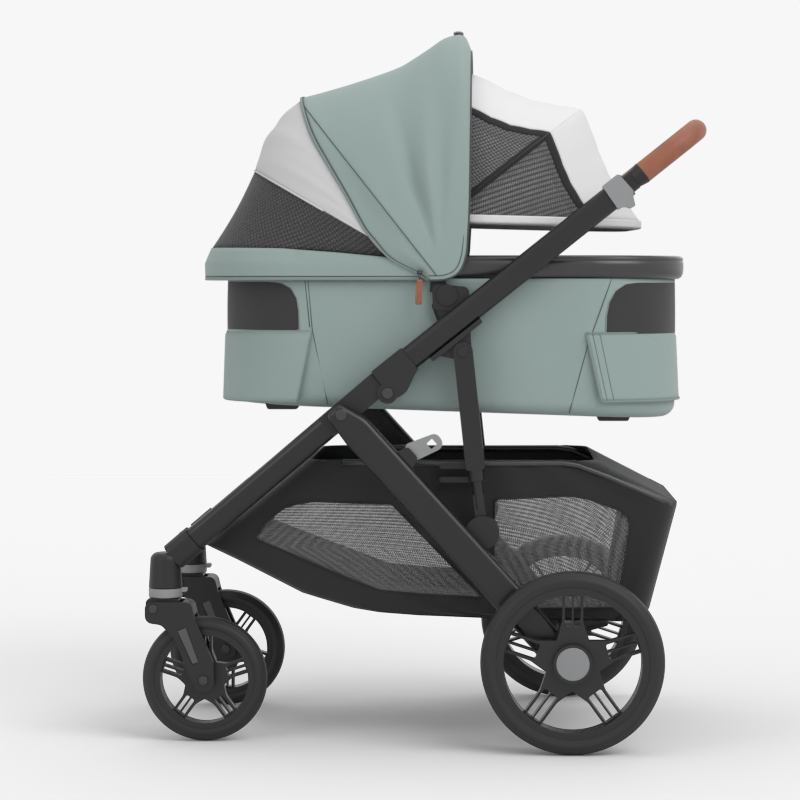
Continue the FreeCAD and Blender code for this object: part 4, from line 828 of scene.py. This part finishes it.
def tubWall(u, s):
    x, y = tubPlan(s)
    low = tubBottom(x)
    r = tub["edge"]
    if u < 0.25:
        a = math.pi / 2 * (1 - u / 0.25)
        x, y = tubPlan(s, -r + r * math.cos(a))
        return Vector((x, y, low + r - r * math.sin(a)))
    f = (u - 0.25) / 0.75
    z = low + r + (tub["top"] - low - r) * f
    ripple = tub["ripple"] * math.sin(math.pi * f) * (math.sin(23 * s) + 0.5 * math.sin(51 * s + 5 * f))
    x, y = tubPlan(s, ripple)
    return Vector((x, y, z))


around = spread(281, -1, 1)
upward = spread(7, 0.0, 0.25) + spread(26, 0.28, 1.0)
panels = [sheetOf("tubCloth", tubWall, upward, around, look["tubSage"], 0.0024, inside=windowAt, flip=True)]


def tubFloor(u, s):
    x, y = tubPlan(s, -tub["edge"])
    cx = 0.5 * (tub["front"] + tub["back"]) + (x - 0.5 * (tub["front"] + tub["back"])) * 0.6
    q = Vector((x, y, 0)).lerp(Vector((cx, 0, 0)), u)
    return Vector((q.x, q.y, tubBottom(q.x) + 0.0002))


panels.append(sheetOf("tubBase", tubFloor, spread(9), around, look["sage"], 0.0020))


def tubLining(u, s):
    r = 0.012
    if u < 0.2:
        a = math.pi / 2 * (1 - u / 0.2)
        x, y = tubPlan(s, -tub["lining"] - r + r * math.cos(a))
        return Vector((x, y, tub["floor"] + r - r * math.sin(a) - 0.001))
    f = (u - 0.2) / 0.8
    pad = 0.0022 * abs(math.sin(15 * math.pi * (s + 0.5 / 30))) * math.sin(math.pi * min(1, f * 1.05))
    x, y = tubPlan(s, -tub["lining"] - 0.0025 + pad * 0.6)
    return Vector((x, y, tub["floor"] + r + (tub["top"] - 0.001 - tub["floor"] - r) * f))


panels.append(sheetOf("tubLining", tubLining, spread(5, 0, 0.2) + spread(14, 0.25, 1.0), around,
                      look["lining"], 0.0014))


def sideS(x):  # the s of the left side at this X
    return (x - (tub["front"] + tub["corner"]) + tubFlat + tubArc) / tubReach


def onWall(x, z, sign, grow):
    s = sideS(x) * (1 if sign < 0 else -1)
    px, py = tubPlan(s, grow)
    return Vector((px, py, z))


for sign in (-1, 1):
    for line in tub["seams"]:
        path = []
        for (ax, az), (bx, bz) in zip(line, line[1:]):
            for f in spread(10):
                path.append(onWall(ax + (bx - ax) * f, az + (bz - az) * f, sign, 0.0019))
        panels.append(cord("tubSeam", path, 0.00075, look["sageDark"]))
    for outlineOf in (headWindow, footWindow):
        path = [onWall(x if x < 0.49 else 0.66, z, sign, 0.0015) for x, z in outlineOf[1:-1]]
        panels.append(cord("windowEdge", path, 0.0011, look["sageTrim"]))
topRing = [(*tubPlan(s, 0.0006), 0.7515) for s in around[:-1]]
panels.append(cord("topBinding", topRing, 0.0016, look["sageTrim"], True))
tubCover = joined("tubCover", panels)
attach(tubCover, "bassinet")
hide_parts("bassinet_tub")

flaps = {
    "headFlap": {"flat": (0.573, 0.113), "top": 0.667, "low": 0.5545, "edgeTop": -0.1805, "edgeLow": -0.2015,
                 "end": -0.462, "out": 0.0058},
    "footFlap": {"flat": (0.581, 0.111), "top": 0.6655, "low": 0.5555, "edgeTop": 0.2635, "edgeLow": 0.2865,
                 "end": 0.5490, "out": 0.0070},
}
cut = {"off": 0.0034, "curl": 0.0040, "curlFrom": 0.86, "wave": 0.0009, "roll": 0.0030, "rollOver": 0.06}
for name, f in flaps.items():
    panels = []

    def flapSheet(u, v, grow=0.0):
        z = f["top"] + (f["low"] - f["top"]) * v
        edge = f["edgeTop"] + (f["edgeLow"] - f["edgeTop"]) * v
        x = f["end"] + (edge - f["end"]) * abs(u)
        far = max(0.0, (abs(u) - cut["curlFrom"]) / (1 - cut["curlFrom"]))
        curl = cut["curl"] * far ** 1.5 * (0.3 + 0.7 * v)
        wave = cut["wave"] * math.sin(9 * abs(u) + 2 * v)
        roll = -cut["roll"] * (max(0.0, cut["rollOver"] - v) / cut["rollOver"]) ** 2
        return onWall(x, z, -1 if u < 0 else 1, cut["off"] + f["out"] * v + curl + wave + roll + grow)

    us = spread(97, -1, 1)
    panels.append(sheetOf("flapCloth", flapSheet, us, spread(16), look["sage"], 0.0028))
    for u in (-0.965, -0.925, 0.925, 0.965):
        panels.append(cord("flapStitch", [flapSheet(u, v, 0.0002) for v in spread(20, 0.01, 0.99)], 0.0005,
                           look["sageSeam"]))
    rim = [flapSheet(-1, v) for v in spread(12)] + [flapSheet(u, 1.0) for u in us[1:-1]]
    rim += [flapSheet(1, v) for v in spread(12, 1, 0)]
    panels.append(cord("flapBinding", rim, 0.0019, look["sageTrim"]))
    panels.append(cord("flapTop", [flapSheet(u, 0.0) for u in us], 0.0017, look["sageTrim"]))
    flap = joined(name, panels)
    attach(flap, "bassinet")
print("tub made")

# mattress: a closed shell blown up by cloth pressure between its quilting seams
bed = {"x": 0.0435, "halfX": 0.3510, "half": 0.1810, "corner": 0.130, "low": 0.5675, "high": 0.6030,
       "quilt": 0.044, "tuft": 0.0035, "crown": 0.0075, "piping": 0.0185, "steps": 220}


def bedEdge(a):  # rounded plan outline in polar form
    c, s = math.cos(a), math.sin(a)
    hx, hy, r = bed["halfX"], bed["half"], bed["corner"]
    low, high = 0.0, 1.0
    for step in range(26):
        k = (low + high) / 2
        x, y = abs(c) * k, abs(s) * k
        dx, dy = max(0.0, x - (hx - r)), max(0.0, y - (hy - r))
        inside = (dx * dx + dy * dy < r * r) if dx > 0 and dy > 0 else (x < hx and y < hy)
        low, high = (k, high) if inside else (low, k)
    return Vector((c * low, s * low, 0))


bedRim = [bedEdge(2 * math.pi * i / bed["steps"]) for i in range(bed["steps"])]


def quiltAt(x, y):
    return abs(math.sin(math.pi * (x + y) / bed["quilt"])) * abs(math.sin(math.pi * (x - y) / bed["quilt"]))


def bedTop(u, k):
    q = bedRim[int(k) % bed["steps"]] * (1 - u)
    z = bed["high"] - bed["crown"] + bed["tuft"] * quiltAt(q.x, q.y) ** 0.4 * min(1, u / 0.06)
    fall = 0.012 * max(0.0, (1 - u - 0.93) / 0.07) ** 2
    return Vector((bed["x"] + q.x, q.y, z - fall))


def bedSide(u, k):
    q = bedRim[int(k) % bed["steps"]]
    z = bed["high"] - bed["piping"] + (bed["low"] - bed["high"] + bed["piping"]) * u
    swell = 0.0016 * math.sin(math.pi * u) - 0.004 * max(0.0, (u - 0.7) / 0.3) ** 2
    return Vector((bed["x"] + q.x * (1 + swell / 0.25), q.y * (1 + swell / 0.18), z))


steps = [float(k) for k in range(bed["steps"] + 1)]
under = [bedSide(1.0, k) for k in range(bed["steps"])]
bedUnder = build("bedUnder", under, [tuple(range(bed["steps"]))], look["quilt"], [(p.x, p.y) for p in under])
shell = joined("bedShell", [sheetOf("bedTop", bedTop, spread(46), steps, look["quilt"], 0.0),
                            sheetOf("bedSide", bedSide, spread(9), steps, look["quilt"], 0.0), bedUnder])


def blownUp(name, piece, voxel, pressure, frames, cap, pinned):
    # swollen by cloth pressure: no point moves further than cap, and pinned ones stay
    remesh = piece.modifiers.new("remesh", "REMESH")
    remesh.mode = "VOXEL"
    remesh.voxel_size = voxel
    body = joined(name, [piece])
    points = body.data.vertices
    seams = body.vertex_groups.new(name="seams")
    seams.add([v.index for v in points if pinned(v.co)], 1.0, "REPLACE")
    cloth = body.modifiers.new("cloth", "CLOTH")
    cloth.settings.use_pressure = True
    cloth.settings.uniform_pressure_force = pressure
    cloth.settings.effector_weights.gravity = 0
    cloth.settings.vertex_group_mass = "seams"
    cloth.settings.quality = 4
    cloth.point_cache.frame_end = frames
    for step in range(1, frames + 1):
        bpy.context.scene.frame_set(step)
    swollen = body.evaluated_get(bpy.context.evaluated_depsgraph_get()).to_mesh()
    for point, end in zip(points, [v.co.copy() for v in swollen.vertices]):
        way = end - point.co
        point.co += way * min(1.0, cap / max(way.length, 1e-9))
    body.modifiers.remove(cloth)
    bpy.context.scene.frame_set(1)
    layer = body.data.uv_layers.new(name="cloth")
    for loop in body.data.loops:
        p = points[loop.vertex_index].co
        layer.data[loop.index].uv = (p.x + 0.7 * p.z, p.y + 0.7 * p.z)
    finer = body.modifiers.new("finer", "SUBSURF")
    finer.levels = finer.render_levels = 1
    for face in body.data.polygons:
        face.use_smooth = True
    return body


def bedSeam(p):
    low = p.z < bed["low"] + 0.004
    return low or (p.z > bed["high"] - 0.0145 and quiltAt(p.x - bed["x"], p.y) < 0.16)


panels = [blownUp("bedBody", shell, 0.006, 4, 16, 0.0050, bedSeam),
          cord("bedPiping", [Vector((bed["x"] + q.x * 1.003, q.y * 1.003, bed["high"] - bed["piping"]))
                             for q in bedRim], 0.0022, look["lining"], True)]
mattress = joined("mattress", panels)
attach(mattress, "bassinet")
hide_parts("bassinet_mattress")
print("mattress made")

# basket

bag = {
    "rear": [(0.200, 0.345), (0.204, 0.358), (0.216, 0.368), (0.391, 0.4135), (0.474, 0.2520)],
    "nose": [(0.200, 0.317), (0.2012, 0.200), (0.206, -0.004), (0.2135, -0.100), (0.240, -0.198),
             (0.291, -0.304), (0.316, -0.360), (0.474, -0.166)],
    "wide": [(-0.358, 0.159), (-0.108, 0.204), (0.422, 0.204)],
    "window": [
        [(-0.275, 0.330), (-0.258, 0.352), (-0.242, 0.368), (-0.226, 0.380), (-0.206, 0.387), (-0.177, 0.392),
         (-0.050, 0.389), (0.096, 0.238), (-0.006, 0.243), (-0.070, 0.249), (-0.158, 0.283)],
        [(0.117, 0.397), (0.238, 0.403), (0.268, 0.398), (0.317, 0.380), (0.330, 0.370), (0.336, 0.355),
         (0.321, 0.262), (0.308, 0.222), (0.114, 0.220)],
    ],
    "rail": [(-0.13, 0.4555), (0.0, 0.4545), (0.12, 0.4545), (0.228, 0.4550), (0.252, 0.4515),
             (0.300, 0.4330), (0.350, 0.4115), (0.385, 0.3960)],
    "railEnd": [(0.4000, 0.1900, 0.3890), (0.4035, 0.1600, 0.3870), (0.4035, 0, 0.3870)], "railY": 0.1995,
    "rearCorner": 0.036, "noseCorner": 0.030, "belly": 0.002, "fold": 0.0012, "middle": 0.33,
    "plainEnds": 19, "noPane": -0.05, "tuck": 0.010, "tuckFrom": 0.226, "tuckOver": 0.026,
}


def bagSlice(z):  # plan at one height, from the middle of the rear round the left side to the nose
    xr, xl = ramp(z, bag["rear"]), ramp(z, bag["nose"])
    flatR, flatL = ramp(xr, bag["wide"]), ramp(xl, bag["wide"])
    r, q = min(bag["rearCorner"], (xr - xl) / 3), min(bag["noseCorner"], (xr - xl) / 3)
    quarter = [f * math.pi / 2 for f in spread(9)[1:]]
    points = [(xr, -f * (flatR - r)) for f in spread(12)]
    points += [(xr - r + r * math.cos(a), -(flatR - r) - r * math.sin(a)) for a in quarter]
    for f in spread(60)[1:]:
        x = xr - r + (xl + q - xr + r) * f
        belly = bag["belly"] * math.sin(math.pi * f) * math.sin(math.pi * clamp((z - 0.2) / 0.27))
        fold = bag["fold"] * math.sin(37 * f + 20 * z)
        points.append((x, -(ramp(x, bag["wide"]) - 0.002 + belly + fold)))
    points += [(xl + q - q * math.sin(a), -(flatL - q) - q * math.cos(a)) for a in quarter]
    points += [(xl, -(flatL - q) * (1 - f)) for f in spread(12)[1:]]
    return points


heights = [0.2002, 0.2006, 0.2015, 0.204, 0.2075, 0.212, 0.218, 0.226] + spread(34, 0.234, 0.4600)
slices = {z: bagSlice(z) for z in heights}
total = len(slices[heights[0]])
laps = list(range(-(total - 1), total))


def bagWall(z, k):
    x, y = slices[z][abs(k)]
    tuck = bag["tuck"] * max(0.0, (bag["tuckFrom"] - z) / bag["tuckOver"]) ** 2
    y = math.copysign(max(0.0, abs(y) - tuck), y) if abs(y) > 0.15 else y
    return Vector((x, y if k >= 0 else -y, z))


def bagWindow(p, z, k):
    if not bag["plainEnds"] < abs(k) < total - bag["plainEnds"]:
        return bag["noPane"]
    return max(polygonDepth(p.x, p.z, w) for w in bag["window"])


panels = [sheetOf("bagCloth", bagWall, heights, laps, look["bag"], 0.0016, inside=bagWindow, flip=True)]
base = slices[heights[0]]


def bagFloor(u, k):
    x, y = base[abs(k)]
    y *= 0.95 if k >= 0 else -0.95
    q = Vector((x, y, 0)).lerp(Vector((bag["middle"] + (x - bag["middle"]) * 0.5, 0, 0)), u)
    return Vector((q.x, q.y, 0.2004 - 0.0002 * math.sin(math.pi * u)))


panels.append(sheetOf("bagFloor", bagFloor, spread(5), laps, look["black"], 0.0012))


for sign in (-1, 1):
    edge = [(x, sign * bag["railY"], z) for x, z in bag["rail"]]
    edge += [(x, sign * y, z) for x, y, z in bag["railEnd"]]
    panels.append(cord("bagRail", edge, 0.0058, look["rail"]))
    for window in bag["window"]:
        path = []
        for (ax, az), (bx, bz) in zip(window, window[1:] + window[:1]):
            for f in spread(7)[:-1]:
                x, z = ax + (bx - ax) * f, az + (bz - az) * f
                path.append(Vector((x, sign * (ramp(x, bag["wide"]) + 0.0002), z)))
        panels.append(cord("windowBinding", path, 0.0011, look["black"], True))
basket = joined("storageBasket", panels)
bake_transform(basket)
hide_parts("basket_bag")
print("basket made")

# small trim

rail = {"front": -0.343, "back": 0.430, "half": 0.2065, "corner": 0.157,
        "section": [(-0.022, 0.7905), (-0.0075, 0.7910), (-0.0028, 0.7896), (-0.0006, 0.7868),
                    (-0.0002, 0.7842), (-0.0022, 0.7828), (-0.0002, 0.7812), (0.0, 0.7760), (0.0, 0.7680),
                    (-0.0009, 0.7618), (-0.0036, 0.7562), (-0.0085, 0.7530), (-0.022, 0.7530)]}


def railPlan(s, grow):  # s runs 0..1 once round from the head end
    around = 2 * rail["half"] + rail["back"] - rail["front"] + (math.pi - 4) * rail["corner"]
    return planAt(rail, min(s, 1 - s) * 2 * around, -1 if s < 0.5 else 1, grow)


railSteps = spread(241)
loop = rail["section"] + rail["section"][:1]


def railSheet(k, s):
    grow, z = loop[int(k)]
    return Vector((*railPlan(s, grow), z))


laps = [float(k) for k in range(len(loop))]
railCover = sheetOf("railCover", railSheet, laps, railSteps, look["rail"], 0.0, flip=True)
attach(railCover, "bassinet")
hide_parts("bassinet_rim")

forkPlate = {"x": -0.4195, "outline": [(0.0225, 0.182), (0.0465, 0.129), (0.0555, 0.132), (0.0355, 0.1875)],
             "face": 0.0266, "thick": 0.0011}
for side, sign in (("left", -1), ("right", 1)):
    rim = nodes[f"front_rim_{side}"]
    wheelY = sum((rim.matrix_world @ Vector(c)).y for c in rim.bound_box) / 8
    plates = []
    for out in (-1, 1):
        y = wheelY + out * forkPlate["face"]
        flat = [Vector((forkPlate["x"] + x, y + out * lift, z)) for lift in (0.0, forkPlate["thick"])
                for x, z in forkPlate["outline"]]
        sides4 = [(k, (k + 1) % 4, 4 + (k + 1) % 4, 4 + k) for k in range(4)]
        plates.append(build("plate", flat, [(3, 2, 1, 0), (4, 5, 6, 7)] + sides4, look["panel"],
                            [(v.x, v.z) for v in flat], smooth=False))
    panel = joined(f"forkPanel_{side}", plates)
    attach(panel, f"fork_{side}")

bumper = {"places": [(-0.2190, 0.4690), (-0.2270, 0.4570)], "y": 0.215, "half": (0.0045, 0.0040),
          "radius": 0.0042}
bumpers = []
for sign in (-1, 1):
    for x, z in bumper["places"]:
        (dx, dz), y = bumper["half"], sign * bumper["y"]
        bumpers.append(cord("legBumper", [(x - dx, y, z - dz), (x + dx, y, z + dz)], bumper["radius"],
                            look["rubber"]))
legBumpers = joined("legBumpers", bumpers)
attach(legBumpers, "front_frame")
print("trim made")

# stage, light and camera

paper = (0.93, 0.93, 0.93, 1)
bpy.ops.mesh.primitive_plane_add(size=9.0, location=(0, 1.2, -0.0004))
floor = bpy.context.object
floor.name = "studioFloor"
material, tree, shader = newMaterial("studioPaper")
fill(tree, shader, {"Base Color": paper, "Roughness": 0.9}, {})
floor.data.materials.append(material)
floor.is_shadow_catcher = True

world = bpy.data.worlds.new("studio")
bpy.context.scene.world = world
world.use_nodes = True
tree = world.node_tree
rays = node(tree, "ShaderNodeLightPath").outputs
sharp = rays["Is Camera Ray"]
for ray in ("Is Transmission Ray", "Is Glossy Ray"):
    sharp = node(tree, "ShaderNodeMath", {}, {0: sharp, 1: rays[ray]}, operation="MAXIMUM").outputs[0]
backdrop = tree.nodes["Background"]
fill(tree, backdrop, {"Color": paper, "Strength": 1.0}, {})
soft = node(tree, "ShaderNodeBackground", {"Color": (1, 1, 1, 1), "Strength": 0.55})
choose = node(tree, "ShaderNodeMixShader", {}, {0: sharp, 1: soft.outputs[0], 2: backdrop.outputs[0]})
tree.links.new(choose.outputs[0], tree.nodes["World Output"].inputs["Surface"])

lamps = {  # place, what it aims at, size in metres, power
    "keyLight": ((2.1, -2.3, 3.0), (0, 0, 0.6), (2.8, 2.2), 60),
    "fillLight": ((-2.4, -2.6, 1.7), (0, 0, 0.6), (1.8, 1.8), 14),
    "topLight": ((0.0, 0.1, 3.4), (0, 0, 0.5), (2.4, 1.6), 19),
    "backLight": ((0.6, 2.8, 1.8), (0, 0, 0.7), (2.4, 1.6), 7),
}
for name, (place, aim, size, power) in lamps.items():
    data = bpy.data.lights.new(name, "AREA")
    data.shape = "RECTANGLE"
    data.size, data.size_y = size
    data.energy = power
    lamp = bpy.data.objects.new(name, data)
    lamp.location = place
    lamp.rotation_euler = (Vector(aim) - Vector(place)).to_track_quat("-Z", "Y").to_euler()
    bpy.context.scene.collection.objects.link(lamp)

view = {"place": (0.1055, -4.525, 0.748), "lens": 120.5, "across": 88, "down": 118, "reach": 2677}
yaw = math.atan(view["across"] / view["reach"])
pitch = math.atan(view["down"] / view["reach"] * math.cos(yaw))
cameraData = bpy.data.cameras.new("camera")
cameraData.lens = view["lens"]
cameraData.sensor_width = 36
cameraData.clip_end = 60
camera = bpy.data.objects.new("camera", cameraData)
bpy.context.scene.collection.objects.link(camera)
camera.location = view["place"]
way = Vector((-math.sin(yaw) * math.cos(pitch), math.cos(yaw) * math.cos(pitch), -math.sin(pitch)))
camera.rotation_euler = way.to_track_quat("-Z", "Y").to_euler()
bpy.context.scene.camera = camera
bpy.context.scene.view_settings.view_transform = "Standard"

print("scene finished")
